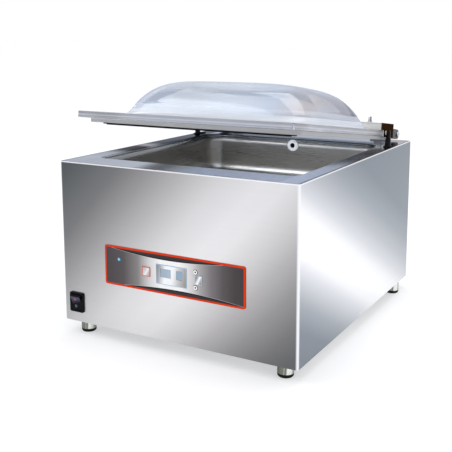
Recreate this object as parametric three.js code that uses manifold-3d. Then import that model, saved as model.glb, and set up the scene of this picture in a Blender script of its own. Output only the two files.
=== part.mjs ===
// Tabletop chamber vacuum packing machine, in millimetres.
// +X is the operator's right, +Y runs from the front to the back and +Z is up.
// The origin is on the surface it stands on, at the middle of its footprint.
// The lid rests ajar, as far as its gas springs hold it after the latch lets go.
import * as THREE from 'three';
import { mergeVertices } from 'three/addons/utils/BufferGeometryUtils.js';
import Module from 'manifold-3d';

const wasm = await Module();
wasm.setup();

// ---- driving dimensions ----
const BODY = { width: 489, depth: 583, height: 306 };
const FOOT = { height: 26, pad: 6, radius: 14.5, stud: 4 };
const FOOT_INSET = { front: { x: 35, y: 28 }, rear: { x: 16, y: 50 } };
const SHEET = 1.5;
const GAP = 0.3;
const DECK_Z = FOOT.height + BODY.height;
const BASE_Z = FOOT.height;
const SIDE_X = BODY.width / 2;
const FRONT_Y = -BODY.depth / 2;
const REAR_Y = BODY.depth / 2;
const SHELL_CORNER = 5;

const CHAMBER = { side: 38, front: 68, rear: 490, depth: 86, draft: 2.2, fillet: 20 };
const CHAMBER_CORNER = { front: 16, rear: 34 };

const HINGE = { y: FRONT_Y + 569, z: DECK_Z + 14, shaftRadius: 6.5, shaftHalf: 222 };
const LID_REST = THREE.MathUtils.degToRad(7.64);
const FLANGE = { side: 23, front: 20, rear: 505, thickness: 12, lift: 8, corner: 8 };
const DOME = { side: 45, front: 125, rear: 427, height: 74, wall: 8 };
const DOME_CORNER = { front: 46, rear: 36 };
const DOME_ROUND = { fall: 1.72, spread: 5.23, oval: 3.6, turn: 0.83 };
const GASKET = { outer: 3.5, width: 9, front: 46, corner: 14 };

const STRUT = { sideInset: 13.2, topY: 466.9, topZ: 15.4, anchorY: 450, anchorZ: -212 };
const STRUT_BODY = { radius: 6, length: 165, rodRadius: 3, rodLength: 155 };

const PANEL = { left: 102, right: 393.5, low: 86.5, high: 160, skin: 1, corner: 4 };
const DISPLAY = { left: 215, right: 278.5, low: 104.5, high: 139.7 };
const WINDOWS = {
  left: { x0: 224.6, x1: 245.8, z0: 117.6, z1: 132.2 },
  right: { x0: 257.8, x1: 269.8, z0: 117.2, z1: 132.6 },
};
const SQUARE_KEYS = {
  start: { x0: 185.6, x1: 202.3, z0: 113.9, z1: 130.8 },
  enter: { x0: 295.7, x1: 310.1, z0: 114.4, z1: 130.8 },
};
const ROUND_KEYS = { up: { x: 296.4, z: 136.3 }, down: { x: 296.4, z: 108.8 } };
const ROUND_KEY_RADIUS = 4.5;
const SWITCH = {
  left: 16, right: 48, low: 19, high: 57, proud: 3, lip: 2, corner: 3, pivotIn: 2.2, tilt: 10,
};

const SEAL = {
  half: 194, front: 71, rear: 87, top: -13.5, height: 28, liftX: 150, liftRadius: 9, pistonRadius: 5,
};

// ---- solids ----
function solidOf(geometry) {
  const bare = geometry.clone();
  bare.deleteAttribute('normal');
  bare.deleteAttribute('uv');
  const merged = mergeVertices(bare, 1e-4);
  const vertProperties = new Float32Array(merged.attributes.position.array);
  const triVerts = new Uint32Array(merged.index.array);
  const solid = new wasm.Manifold(new wasm.Mesh({ numProp: 3, vertProperties, triVerts }));
  if (solid.volume() > 0) return solid;
  return new wasm.Manifold(new wasm.Mesh({ numProp: 3, vertProperties, triVerts: triVerts.reverse() }));
}

function geometryOf(solid) {
  const mesh = solid.getMesh();
  const geometry = new THREE.BufferGeometry();
  geometry.setAttribute('position', new THREE.BufferAttribute(new Float32Array(mesh.vertProperties), 3));
  geometry.setIndex(new THREE.BufferAttribute(new Uint32Array(mesh.triVerts), 1));
  return geometry;
}

function join(first, ...others) {
  return others.reduce((solid, other) => solid.add(other), first);
}

function cut(solid, ...tools) {
  return tools.reduce((rest, tool) => rest.subtract(tool), solid);
}

function block([x0, x1], [y0, y1], [z0, z1]) {
  const geometry = new THREE.BoxGeometry(x1 - x0, y1 - y0, z1 - z0);
  geometry.translate((x0 + x1) / 2, (y0 + y1) / 2, (z0 + z1) / 2);
  return solidOf(geometry);
}

// A round bar centred on a point, along the x, y or z axis.
function bar(axis, radius, length, [x, y, z], segments = 20) {
  const geometry = new THREE.CylinderGeometry(radius, radius, length, segments);
  if (axis === 'x') geometry.rotateZ(Math.PI / 2);
  if (axis === 'z') geometry.rotateX(Math.PI / 2);
  geometry.translate(x, y, z);
  return solidOf(geometry);
}

// A turned piece: profile points are [radius, height], from the axis back to the axis or closed.
function turned(profile, axis, [x, y, z], segments = 24) {
  const geometry = new THREE.LatheGeometry(profile.map(([r, h]) => new THREE.Vector2(r, h)), segments);
  if (axis === 'x') geometry.rotateZ(-Math.PI / 2);
  if (axis === 'z') geometry.rotateX(Math.PI / 2);
  geometry.translate(x, y, z);
  return solidOf(geometry);
}

function roundedRect(x0, x1, y0, y1, radius) {
  const shape = new THREE.Shape();
  shape.moveTo(x0 + radius, y0);
  shape.lineTo(x1 - radius, y0);
  shape.absarc(x1 - radius, y0 + radius, radius, -Math.PI / 2, 0);
  shape.lineTo(x1, y1 - radius);
  shape.absarc(x1 - radius, y1 - radius, radius, 0, Math.PI / 2);
  shape.lineTo(x0 + radius, y1);
  shape.absarc(x0 + radius, y1 - radius, radius, Math.PI / 2, Math.PI);
  shape.lineTo(x0, y0 + radius);
  shape.absarc(x0 + radius, y0 + radius, radius, Math.PI, Math.PI * 1.5);
  return shape;
}

function polygon(points) {
  return new THREE.Shape(points.map(([u, v]) => new THREE.Vector2(u, v)));
}

// Drawn in plan (X, Y) and raised from z0 to z1.
function slab(shape, z0, z1, curveSegments = 4) {
  const geometry = new THREE.ExtrudeGeometry(shape, { depth: z1 - z0, bevelEnabled: false, curveSegments });
  geometry.translate(0, 0, z0);
  return solidOf(geometry);
}

// Drawn as seen from the front (X, Z) and spanning y0 to y1.
function facePlate(shape, y0, y1, curveSegments = 4) {
  const geometry = new THREE.ExtrudeGeometry(shape, { depth: y1 - y0, bevelEnabled: false, curveSegments });
  geometry.rotateX(Math.PI / 2);
  geometry.translate(0, y1, 0);
  return solidOf(geometry);
}

// Drawn as a side profile (Y, Z) and spanning x0 to x1.
function sideProfile(points, x0, x1) {
  const geometry = new THREE.ExtrudeGeometry(polygon(points), { depth: x1 - x0, bevelEnabled: false });
  const across = new THREE.Vector3(1, 0, 0);
  const back = new THREE.Vector3(0, 1, 0);
  const up = new THREE.Vector3(0, 0, 1);
  geometry.applyMatrix4(new THREE.Matrix4().makeBasis(back, up, across));
  geometry.translate(x0, 0, 0);
  return solidOf(geometry);
}

// One level of a drawn form: a rounded rectangle at height z, counter-clockwise from above.
function level(x0, x1, y0, y1, frontRadius, rearRadius, z, steps = 6) {
  const corners = [
    [x1 - frontRadius, y0 + frontRadius, frontRadius, -90],
    [x1 - rearRadius, y1 - rearRadius, rearRadius, 0],
    [x0 + rearRadius, y1 - rearRadius, rearRadius, 90],
    [x0 + frontRadius, y0 + frontRadius, frontRadius, 180],
  ];
  return corners.flatMap(([x, y, radius, start]) => Array.from({ length: steps + 1 }, (_, i) => {
    const angle = THREE.MathUtils.degToRad(start + (90 * i) / steps);
    return [x + radius * Math.cos(angle), y + radius * Math.sin(angle), z];
  }));
}

// A closed body through a run of levels, with a fan across its first and last level.
function loft(levels) {
  const count = levels[0].length;
  const positions = levels.flat(2);
  const triangles = [];
  for (let k = 0; k < levels.length - 1; k += 1) {
    for (let i = 0; i < count; i += 1) {
      const a = k * count + i;
      const b = k * count + ((i + 1) % count);
      triangles.push(a, b, b + count, a, b + count, a + count);
    }
  }
  const ends = [levels[0], levels[levels.length - 1]];
  ends.forEach((ring, end) => {
    const centre = positions.length / 3;
    const first = end === 0 ? 0 : (levels.length - 1) * count;
    positions.push(...[0, 1, 2].map((axis) => ring.reduce((sum, p) => sum + p[axis], 0) / count));
    for (let i = 0; i < count; i += 1) {
      const a = first + i;
      const b = first + ((i + 1) % count);
      triangles.push(...(end === 0 ? [centre, b, a] : [centre, a, b]));
    }
  });
  const geometry = new THREE.BufferGeometry();
  geometry.setAttribute('position', new THREE.Float32BufferAttribute(positions, 3));
  geometry.setIndex(triangles);
  return solidOf(geometry);
}

// ---- finishes ----
function finish(color, metalness, roughness, opacity = 1) {
  const material = new THREE.MeshStandardMaterial({ color, metalness, roughness });
  material.transparent = opacity < 1;
  material.opacity = opacity;
  return material;
}

const brushed = () => finish(0xb9bcbf, 1, 0.32);
const polished = () => finish(0xc9cbcd, 1, 0.15);
const aluminium = () => finish(0xb4b7ba, 0.9, 0.45);
const chrome = () => finish(0xe6e8ea, 1, 0.06);
const blackPlastic = () => finish(0x121214, 0, 0.4);
const blackRubber = () => finish(0x0d0d0e, 0, 0.8);

const machine = new THREE.Group();
const lid = new THREE.Group();
const TO_LID = new THREE.Vector3(0, HINGE.y, HINGE.z);
lid.position.copy(TO_LID);
lid.rotation.x = -LID_REST;
machine.add(lid);

function add(name, solid, material, group = machine) {
  const mesh = new THREE.Mesh(geometryOf(solid), material);
  mesh.name = name;
  group.add(mesh);
  return mesh;
}

// Lid pieces are drawn with the lid shut, then carried by the lid group about the hinge.
function addToLid(name, solid, material) {
  add(name, solid, material, lid).position.copy(TO_LID).negate();
}

const fromLeft = (x) => x - SIDE_X;
const fromFront = (y) => y + FRONT_Y;
const aboveBase = (z) => z + BASE_Z;
const SIDES = { left: -1, right: 1 };

// ---- cabinet ----
function cabinetShell() {
  const inner = SIDE_X - SHEET;
  const outline = new THREE.Shape();
  const r = SHELL_CORNER;
  const s = r - SHEET;
  outline.moveTo(-SIDE_X, REAR_Y);
  outline.lineTo(-SIDE_X, FRONT_Y + r);
  outline.absarc(-SIDE_X + r, FRONT_Y + r, r, Math.PI, Math.PI * 1.5);
  outline.lineTo(SIDE_X - r, FRONT_Y);
  outline.absarc(SIDE_X - r, FRONT_Y + r, r, -Math.PI / 2, 0);
  outline.lineTo(SIDE_X, REAR_Y);
  outline.lineTo(inner, REAR_Y);
  outline.lineTo(inner, FRONT_Y + r);
  outline.absarc(inner - s, FRONT_Y + r, s, 0, -Math.PI / 2, true);
  outline.lineTo(-inner + s, FRONT_Y + SHEET);
  outline.absarc(-inner + s, FRONT_Y + r, s, -Math.PI / 2, -Math.PI, true);
  outline.lineTo(-inner, REAR_Y);
  const through = [FRONT_Y - 5, FRONT_Y + 5];
  const border = 8;
  const keyWindow = block(
    [fromLeft(SQUARE_KEYS.start.x0 - border), fromLeft(SQUARE_KEYS.enter.x1 + border)],
    through,
    [aboveBase(DISPLAY.low - 2), aboveBase(DISPLAY.high + 3)],
  );
  const lip = SWITCH.lip;
  const switchHole = block(
    [fromLeft(SWITCH.left + lip), fromLeft(SWITCH.right - lip)],
    through,
    [aboveBase(SWITCH.low + lip), aboveBase(SWITCH.high - lip)],
  );
  return cut(slab(outline, BASE_Z, DECK_Z), keyWindow, switchHole);
}

const VENT = { pitch: 24, halfWidth: 4, front: 60, rear: 160 };

function basePlate() {
  const x = SIDE_X - SHEET - GAP;
  const y0 = FRONT_Y + SHEET + GAP;
  const y1 = REAR_Y - SHEET - GAP;
  const rim = 14;
  const corner = SHELL_CORNER;
  const tray = slab(roundedRect(-x, x, y0, y1, corner), BASE_Z, BASE_Z + rim);
  const inside = roundedRect(-x + SHEET, x - SHEET, y0 + SHEET, y1 - SHEET, corner);
  const hollow = slab(inside, BASE_Z + SHEET, BASE_Z + rim + 1);
  const holes = footCentres().map(([, fx, fy]) => bar('z', FOOT.stud + 0.5, 12, [fx, fy, BASE_Z], 16));
  const { pitch, halfWidth, front, rear } = VENT;
  const vents = [-2, -1, 0, 1, 2].map((i) => (
    block([i * pitch - halfWidth, i * pitch + halfWidth], [front, rear], [BASE_Z - 1, BASE_Z + 4])
  ));
  return cut(tray, hollow, ...holes, ...vents);
}

const LOUVRE = { rows: 7, low: 90, pitch: 14, height: 5, halfWidth: 36, centres: [-95, 0] };
const INLET = { x: 165, z: 72, halfWidth: 14, halfHeight: 10.5 };
const EXHAUST = { x: -150, z: 250, radius: 18, hole: 10, proud: 8 };

function rearPanel() {
  const x = SIDE_X - SHEET - GAP;
  const plate = block([-x, x], [REAR_Y - SHEET, REAR_Y], [BASE_Z, DECK_Z]);
  const behind = [REAR_Y - 5, REAR_Y + 5];
  const louvres = [];
  for (let row = 0; row < LOUVRE.rows; row += 1) {
    const z = LOUVRE.low + row * LOUVRE.pitch;
    for (const centre of LOUVRE.centres) {
      const across = [centre - LOUVRE.halfWidth, centre + LOUVRE.halfWidth];
      louvres.push(block(across, behind, [z, z + LOUVRE.height]));
    }
  }
  const inletHole = block(
    [INLET.x - INLET.halfWidth - GAP, INLET.x + INLET.halfWidth + GAP],
    behind,
    [INLET.z - INLET.halfHeight - GAP, INLET.z + INLET.halfHeight + GAP],
  );
  const exhaustHole = bar('y', EXHAUST.hole + GAP, 10, [EXHAUST.x, REAR_Y, EXHAUST.z], 20);
  return cut(plate, ...louvres, inletHole, exhaustHole);
}

const tubEdge = (inset) => [
  fromLeft(CHAMBER.side + inset),
  -fromLeft(CHAMBER.side + inset),
  fromFront(CHAMBER.front + inset),
  fromFront(CHAMBER.rear - inset),
];

const SLOT = { halfWidth: 7.5, front: 457, rear: 493 };

function strutSlot(side, grow, z0, z1) {
  const x = side * (SIDE_X - STRUT.sideInset);
  const half = SLOT.halfWidth + grow;
  const front = fromFront(SLOT.front - grow);
  const rear = fromFront(SLOT.rear + grow);
  return slab(roundedRect(x - half, x + half, front, rear, half - 0.1), z0, z1);
}

function deckPlate() {
  const x = SIDE_X - SHEET - 0.7;
  const y0 = FRONT_Y + SHEET + GAP;
  const y1 = REAR_Y - SHEET - GAP;
  const skirt = 16;
  const pan = slab(roundedRect(-x, x, y0, y1, SHELL_CORNER), DECK_Z - skirt, DECK_Z);
  const under = roundedRect(-x + SHEET, x - SHEET, y0 + SHEET, y1 - SHEET, SHELL_CORNER);
  const hollow = slab(under, DECK_Z - skirt - 1, DECK_Z - SHEET);
  const clear = SHEET + GAP;
  const [tx0, tx1, ty0, ty1] = tubEdge(-clear);
  const { front, rear } = CHAMBER_CORNER;
  const mouth = loft([-3, 1].map((z) => (
    level(tx0, tx1, ty0, ty1, front + clear, rear + clear, DECK_Z + z)
  )));
  const slots = Object.values(SIDES).map((side) => strutSlot(side, 0, DECK_Z - 3, DECK_Z + 1));
  return cut(pan, hollow, mouth, ...slots);
}

// The drawn tub: its skin at a distance out from the inner face, from the floor fillet to the deck.
function tubLevels(out) {
  const { depth, draft, fillet } = CHAMBER;
  const bend = fillet + out;
  const bottom = DECK_Z - depth - out;
  const levels = [];
  for (let step = 0; step <= 4; step += 1) {
    const angle = (Math.PI / 2) * (step / 4);
    const inset = draft + fillet - bend * Math.sin(angle);
    const z = bottom + bend * (1 - Math.cos(angle));
    levels.push([inset, z]);
  }
  levels.push([-out, DECK_Z]);
  return levels.map(([inset, z]) => {
    const front = Math.max(CHAMBER_CORNER.front - inset, 5);
    const rear = CHAMBER_CORNER.rear - inset;
    return level(...tubEdge(inset), front, rear, z);
  });
}

const NOZZLE = { x: 6, drop: 14.5, wallRadius: 7, bore: 5.5 };

function nozzlePlace(y) {
  return [NOZZLE.x, fromFront(y), DECK_Z - NOZZLE.drop];
}

function chamberTub() {
  const skin = loft([...tubLevels(SHEET), ...tubLevels(0).reverse()]);
  return cut(skin, bar('y', NOZZLE.wallRadius, 16, nozzlePlace(CHAMBER.rear), 16));
}

// ---- feet ----
function footCentres() {
  const { front, rear } = FOOT_INSET;
  const yFront = FRONT_Y + front.y;
  const yRear = REAR_Y - rear.y;
  return [
    ['front_left', front.x - SIDE_X, yFront],
    ['front_right', SIDE_X - front.x, yFront],
    ['rear_left', rear.x - SIDE_X, yRear],
    ['rear_right', SIDE_X - rear.x, yRear],
  ];
}

function addFeet() {
  for (const [name, x, y] of footCentres()) {
    const sleeveHeight = BASE_Z - FOOT.pad - 2 * GAP;
    const sleeve = bar('z', FOOT.radius, sleeveHeight, [x, y, (BASE_Z + FOOT.pad) / 2], 24);
    const stud = bar('z', FOOT.stud, 26, [x, y, BASE_Z], 14);
    add(`foot_sleeve_${name}`, join(sleeve, stud), brushed());
    const profile = [[0, 0], [12.4, 0], [14.2, 2.4], [14.2, FOOT.pad], [0, FOOT.pad]];
    add(`foot_pad_${name}`, turned(profile, 'z', [x, y, 0], 24), blackRubber());
  }
}

// ---- control panel ----
const PANEL_BACK = FRONT_Y - GAP;
const PANEL_FACE = PANEL_BACK - PANEL.skin;

function frontBlock({ x0, x1, z0, z1 }, grow, yFront, yBack) {
  return block(
    [fromLeft(x0 - grow), fromLeft(x1 + grow)],
    [yFront, yBack],
    [aboveBase(z0 - grow), aboveBase(z1 + grow)],
  );
}

const DISPLAY_AREA = { x0: DISPLAY.left, x1: DISPLAY.right, z0: DISPLAY.low, z1: DISPLAY.high };

function panelOverlay() {
  const { left, right, low, high, corner } = PANEL;
  const outline = roundedRect(fromLeft(left), fromLeft(right), aboveBase(low), aboveBase(high), corner);
  const film = facePlate(outline, PANEL_FACE, PANEL_BACK);
  const reach = [PANEL_FACE - 2, PANEL_BACK + 2];
  const areas = [...Object.values(SQUARE_KEYS), DISPLAY_AREA];
  const squares = areas.map((area) => frontBlock(area, GAP, ...reach));
  const rounds = Object.values(ROUND_KEYS).map(({ x, z }) => (
    bar('y', ROUND_KEY_RADIUS + GAP, 6, [fromLeft(x), PANEL_BACK, aboveBase(z)], 24)
  ));
  return cut(film, ...squares, ...rounds);
}

function displayFrame() {
  const face = PANEL_FACE - 0.6;
  const frame = frontBlock(DISPLAY_AREA, 0, face, PANEL_BACK + 2.5);
  const windows = Object.values(WINDOWS).map((area) => frontBlock(area, GAP, face - 1, PANEL_BACK + 4));
  return cut(frame, ...windows);
}

function addKeys() {
  const face = PANEL_FACE - 0.9;
  for (const [name, area] of Object.entries(SQUARE_KEYS)) {
    const inset = { x0: area.x0 + 4, x1: area.x1 - 4, z0: area.z0 + 4, z1: area.z1 - 4 };
    const cap = frontBlock(area, 0, face, PANEL_BACK);
    const stem = frontBlock(inset, 0, PANEL_BACK - 0.5, FRONT_Y + 8);
    add(`${name}_key`, join(cap, stem), chrome());
  }
  for (const [name, { x, z }] of Object.entries(ROUND_KEYS)) {
    const [cx, cz] = [fromLeft(x), aboveBase(z)];
    const cap = bar('y', ROUND_KEY_RADIUS, PANEL_BACK - face, [cx, (face + PANEL_BACK) / 2, cz], 24);
    const stem = bar('y', 2, 9, [cx, PANEL_BACK + 4, cz], 12);
    add(`${name}_key`, join(cap, stem), chrome());
  }
}

function addControlPanel() {
  add('panel_overlay', panelOverlay(), finish(0x433f42, 0.1, 0.4));
  add('display_frame', displayFrame(), finish(0xaeb2b8, 0.6, 0.35));
  for (const [name, area] of Object.entries(WINDOWS)) {
    const lens = frontBlock(area, 0, PANEL_FACE - 0.2, PANEL_BACK + 2.5);
    add(`display_window_${name}`, lens, finish(0x9fb0bf, 0, 0.15));
  }
  addKeys();
  const board = block([fromLeft(150), fromLeft(345)], [FRONT_Y + 14, FRONT_Y + 15.6], [112, 186]);
  const cells = [
    block([fromLeft(218), fromLeft(276)], [FRONT_Y + 8, FRONT_Y + 14.5], [132, 165]),
    block([fromLeft(160), fromLeft(190)], [FRONT_Y + 15, FRONT_Y + 34], [118, 146]),
    block([fromLeft(290), fromLeft(330)], [FRONT_Y + 15, FRONT_Y + 28], [150, 176]),
  ];
  add('control_board', join(board, ...cells), finish(0x1f6b3a, 0.1, 0.5));
}

// ---- mains switch ----
const SWITCH_MID = {
  x: fromLeft((SWITCH.left + SWITCH.right) / 2),
  z: aboveBase((SWITCH.low + SWITCH.high) / 2),
};
const ROCKER = { radius: 15.6, halfWidth: 11, nose: 8, hollow: 4.6, back: -3.5 };

function switchHousing() {
  const [x0, x1] = [fromLeft(SWITCH.left), fromLeft(SWITCH.right)];
  const outline = roundedRect(x0, x1, aboveBase(SWITCH.low), aboveBase(SWITCH.high), SWITCH.corner);
  const bezel = facePlate(outline, FRONT_Y - SWITCH.proud, FRONT_Y - GAP);
  const side = (SWITCH.right - SWITCH.left) / 2 - SWITCH.lip - GAP;
  const tall = (SWITCH.high - SWITCH.low) / 2 - SWITCH.lip - GAP;
  const { x, z } = SWITCH_MID;
  const can = block([x - side, x + side], [FRONT_Y - 1, FRONT_Y + 26], [z - tall, z + tall]);
  const opening = ROCKER.radius + 0.6;
  const wide = ROCKER.halfWidth + 0.4;
  const well = sideProfile(
    arcPoints(opening, -90, 90).map(([u, v]) => [FRONT_Y + SWITCH.pivotIn + Math.max(u, 0), v + z])
      .concat([[FRONT_Y - 20, z + opening], [FRONT_Y - 20, z - opening]]),
    x - wide,
    x + wide,
  );
  const tabs = [x - 6, x, x + 6].map((tab) => (
    block([tab - 1.2, tab + 1.2], [FRONT_Y + 25, FRONT_Y + 34], [z - 8, z - 2])
  ));
  return join(cut(join(bezel, can), well), ...tabs);
}

function arcPoints(radius, from, to, steps = 12) {
  return Array.from({ length: steps + 1 }, (_, i) => {
    const angle = THREE.MathUtils.degToRad(from + ((to - from) * i) / steps);
    return [radius * Math.cos(angle), radius * Math.sin(angle)];
  });
}

// The rocker's profile has its tips on a circle about its pivot, so it turns clear of the well.
function rocker() {
  const { radius, nose, hollow, back, halfWidth } = ROCKER;
  const tip = Math.asin(nose / radius) * THREE.MathUtils.RAD2DEG;
  const heel = Math.asin(-back / radius) * THREE.MathUtils.RAD2DEG;
  const top = arcPoints(radius, 90 - heel, 90 + tip, 4);
  const low = arcPoints(radius, 270 - tip, 270 + heel, 4);
  const profile = [...top, [-hollow, 0], ...low];
  const pivot = [FRONT_Y + SWITCH.pivotIn, SWITCH_MID.z];
  const turn = THREE.MathUtils.degToRad(SWITCH.tilt);
  const tilted = profile.map(([u, v]) => [
    pivot[0] + u * Math.cos(turn) - v * Math.sin(turn),
    pivot[1] + u * Math.sin(turn) + v * Math.cos(turn),
  ]);
  return sideProfile(tilted, SWITCH_MID.x - halfWidth, SWITCH_MID.x + halfWidth);
}

// ---- lid ----
const LID_ARC_STEPS = 6;
const LID_SIDE_STEPS = 4;

// Adds even steps along the four straight runs of a level.
function sidesDivided(ring) {
  const arc = LID_ARC_STEPS + 1;
  return ring.flatMap((point, i) => {
    if (i % arc !== arc - 1) return [point];
    const next = ring[(i + 1) % ring.length];
    return Array.from({ length: LID_SIDE_STEPS }, (_, k) => (
      point.map((value, axis) => value + ((next[axis] - value) * k) / LID_SIDE_STEPS)
    ));
  });
}

// The dome starts as its rounded foot and turns into an oval as it rises and closes in.
function domeLevel(out, rise, z) {
  const half = [SIDE_X - DOME.side + out, (DOME.rear - DOME.front) / 2 + out];
  const middle = fromFront((DOME.front + DOME.rear) / 2);
  const foot = sidesDivided(level(
    -half[0], half[0], middle - half[1], middle + half[1],
    DOME_CORNER.front + out, DOME_CORNER.rear + out, z, LID_ARC_STEPS,
  ));
  const { fall, spread, oval, turn } = DOME_ROUND;
  const closing = (1 - rise ** fall) ** (1 / spread);
  return foot.map(([x, y]) => {
    const place = [Math.abs(x / half[0]), Math.abs((y - middle) / half[1])];
    const onOval = (place[0] ** oval + place[1] ** oval) ** (-1 / oval);
    const scale = (1 + (onOval - 1) * rise ** turn) * closing;
    return [x * scale, middle + (y - middle) * scale, z];
  });
}

function lidDome() {
  const { side, front, rear, lift, thickness, corner } = FLANGE;
  const low = DECK_Z + lift;
  const high = low + thickness;
  const edge = (inset, z) => sidesDivided(level(
    fromLeft(side + inset), -fromLeft(side + inset), fromFront(front + inset), fromFront(rear - inset),
    corner - inset, corner - inset, z, LID_ARC_STEPS,
  ));
  const rises = [0, 0.2, 0.4, 0.57, 0.72, 0.84, 0.92, 0.97, 0.992];
  const shell = (out) => rises.map((rise) => (
    domeLevel(out, rise, high - DOME.wall / 2 + out + DOME.height * rise)
  ));
  const mouth = domeLevel(-DOME.wall / 2, 0, low);
  const round = 1.5;
  const rim = [edge(round, low), edge(0, low + round), edge(0, high - round), edge(round, high)];
  return loft([...shell(-DOME.wall / 2).reverse(), mouth, ...rim, ...shell(DOME.wall / 2)]);
}

function lidGasket() {
  const ring = (inset, z0, z1) => {
    const x = SIDE_X - FLANGE.side - inset;
    const front = fromFront(GASKET.front + inset);
    const rear = fromFront(FLANGE.rear - inset);
    return slab(roundedRect(-x, x, front, rear, GASKET.corner), DECK_Z + z0, DECK_Z + z1);
  };
  const outer = ring(GASKET.outer, 0.5, FLANGE.lift - GAP);
  return cut(outer, ring(GASKET.outer + GASKET.width, -1, FLANGE.lift + 1));
}

const COUNTER = { half: 190, cap: 9, front: 69.5, rear: 83.5, low: 1.4, high: FLANGE.lift - GAP };

function addCounterBar() {
  const { half, cap, front, rear, low, high } = COUNTER;
  const channel = block([-half, half], [fromFront(front), fromFront(rear)], [DECK_Z + low, DECK_Z + high]);
  const groove = block(
    [-half - 1, half + 1],
    [fromFront(front + 2.5), fromFront(rear - 2.5)],
    [DECK_Z, DECK_Z + 5],
  );
  addToLid('counter_bar', cut(channel, groove), aluminium());
  const strip = block(
    [-half - 1, half + 1],
    [fromFront(front + 2.8), fromFront(rear - 2.8)],
    [DECK_Z - 3, DECK_Z + 4.7],
  );
  const caps = [-1, 1].map((side) => block(
    [half + GAP, half + cap].map((x) => side * x).sort((a, b) => a - b),
    [fromFront(front + 2.8), fromFront(rear)],
    [DECK_Z - 1.6, DECK_Z + high - 0.4],
  ));
  addToLid('counter_bar_pad', join(strip, ...caps), blackRubber());
}

const HINGE_BAR = { front: 440, rear: 522, drop: 505.6, low: 8, lowFront: 458, plate: 15, tab: 2.5 };
const CAP_NUT = { x: 188, y: 472, washer: 5, hexagon: 3.8, dome: 3.1 };

function hingeBar() {
  const flat = FLANGE.lift + FLANGE.thickness + GAP;
  const top = flat + HINGE_BAR.plate;
  const edge = SIDE_X - FLANGE.side + GAP;
  const { front, rear, drop, low, lowFront, tab } = HINGE_BAR;
  const at = (y, z) => [fromFront(y), DECK_Z + z];
  const channel = sideProfile(
    [at(front, flat), at(drop, flat), at(drop, low), at(rear, low), at(rear, top), at(front, top)],
    -edge,
    edge,
  );
  const cheeks = Object.values(SIDES).map((side) => sideProfile(
    [at(front, flat), at(lowFront, flat), at(lowFront, 6), at(rear, 6), at(rear, top), at(front, top)],
    Math.min(side * edge, side * (edge + tab)),
    Math.max(side * edge, side * (edge + tab)),
  ));
  return join(channel, ...cheeks);
}

const ARM = { outer: 219, width: 15, radius: 10.5 };

function hingeArm(side) {
  const axis = [HINGE.y, HINGE.z];
  const knuckle = arcPoints(ARM.radius, -90, 90, 8).map(([u, v]) => [axis[0] + u, axis[1] + v]);
  const root = fromFront(HINGE_BAR.rear) + GAP;
  const profile = [[root, DECK_Z + 6.5], ...knuckle, [root, DECK_Z + 26]];
  const x0 = side > 0 ? ARM.outer - ARM.width : -ARM.outer;
  const arm = sideProfile(profile, x0, x0 + ARM.width);
  const bore = bar('x', HINGE.shaftRadius + GAP, ARM.width + 4, [x0 + ARM.width / 2, ...axis], 24);
  return cut(arm, bore);
}

function capNut(x, y, z) {
  const { washer, hexagon, dome } = CAP_NUT;
  const plate = bar('z', washer, 1.2, [x, y, z + 0.6], 20);
  const flats = bar('z', hexagon, 4, [x, y, z + 3], 6);
  const profile = [[0, 0], [dome, 0], [dome, 6], [dome * 0.8, 7.4], [dome * 0.45, 8.2], [0, 8.5]];
  return join(plate, flats, turned(profile, 'z', [x, y, z + 4.5], 20));
}

function addLid() {
  addToLid('lid_dome', lidDome(), finish(0xdfe6f2, 0, 0.05, 0.3));
  addToLid('lid_gasket', lidGasket(), finish(0x2a2a2c, 0, 0.7));
  addCounterBar();
  addToLid('hinge_bar', hingeBar(), brushed());
  const nutBase = DECK_Z + FLANGE.lift + FLANGE.thickness + GAP + HINGE_BAR.plate + GAP;
  for (const [name, side] of Object.entries(SIDES)) {
    addToLid(`hinge_arm_${name}`, hingeArm(side), blackPlastic());
    addToLid(`cap_nut_${name}`, capNut(side * CAP_NUT.x, fromFront(CAP_NUT.y), nutBase), chrome());
    addBallStud(name, side);
  }
}

// ---- gas springs ----
function addBallStud(name, side) {
  const cheek = SIDE_X - FLANGE.side + GAP + HINGE_BAR.tab + GAP;
  const ball = SIDE_X - STRUT.sideInset;
  const [y, z] = [fromFront(STRUT.topY), DECK_Z + STRUT.topZ];
  const collar = bar('x', 4.2, 1.6, [side * (cheek + 0.8), y, z], 18);
  const neck = bar('x', 2, ball - cheek, [side * (ball + cheek) / 2, y, z], 14);
  const head = new THREE.SphereGeometry(3.6, 12, 8);
  head.translate(side * ball, y, z);
  addToLid(`ball_stud_${name}`, join(collar, neck, solidOf(head)), chrome());
}

const STRUT_TOP = new THREE.Vector3(0, fromFront(STRUT.topY), DECK_Z + STRUT.topZ)
  .sub(TO_LID).applyAxisAngle(new THREE.Vector3(1, 0, 0), -LID_REST).add(TO_LID);
const STRUT_FOOT = new THREE.Vector3(0, fromFront(STRUT.anchorY), DECK_Z + STRUT.anchorZ);
const STRUT_REACH = STRUT_TOP.distanceTo(STRUT_FOOT);
const STRUT_LEAN = Math.atan2(STRUT_TOP.y - STRUT_FOOT.y, STRUT_TOP.z - STRUT_FOOT.z);

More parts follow.
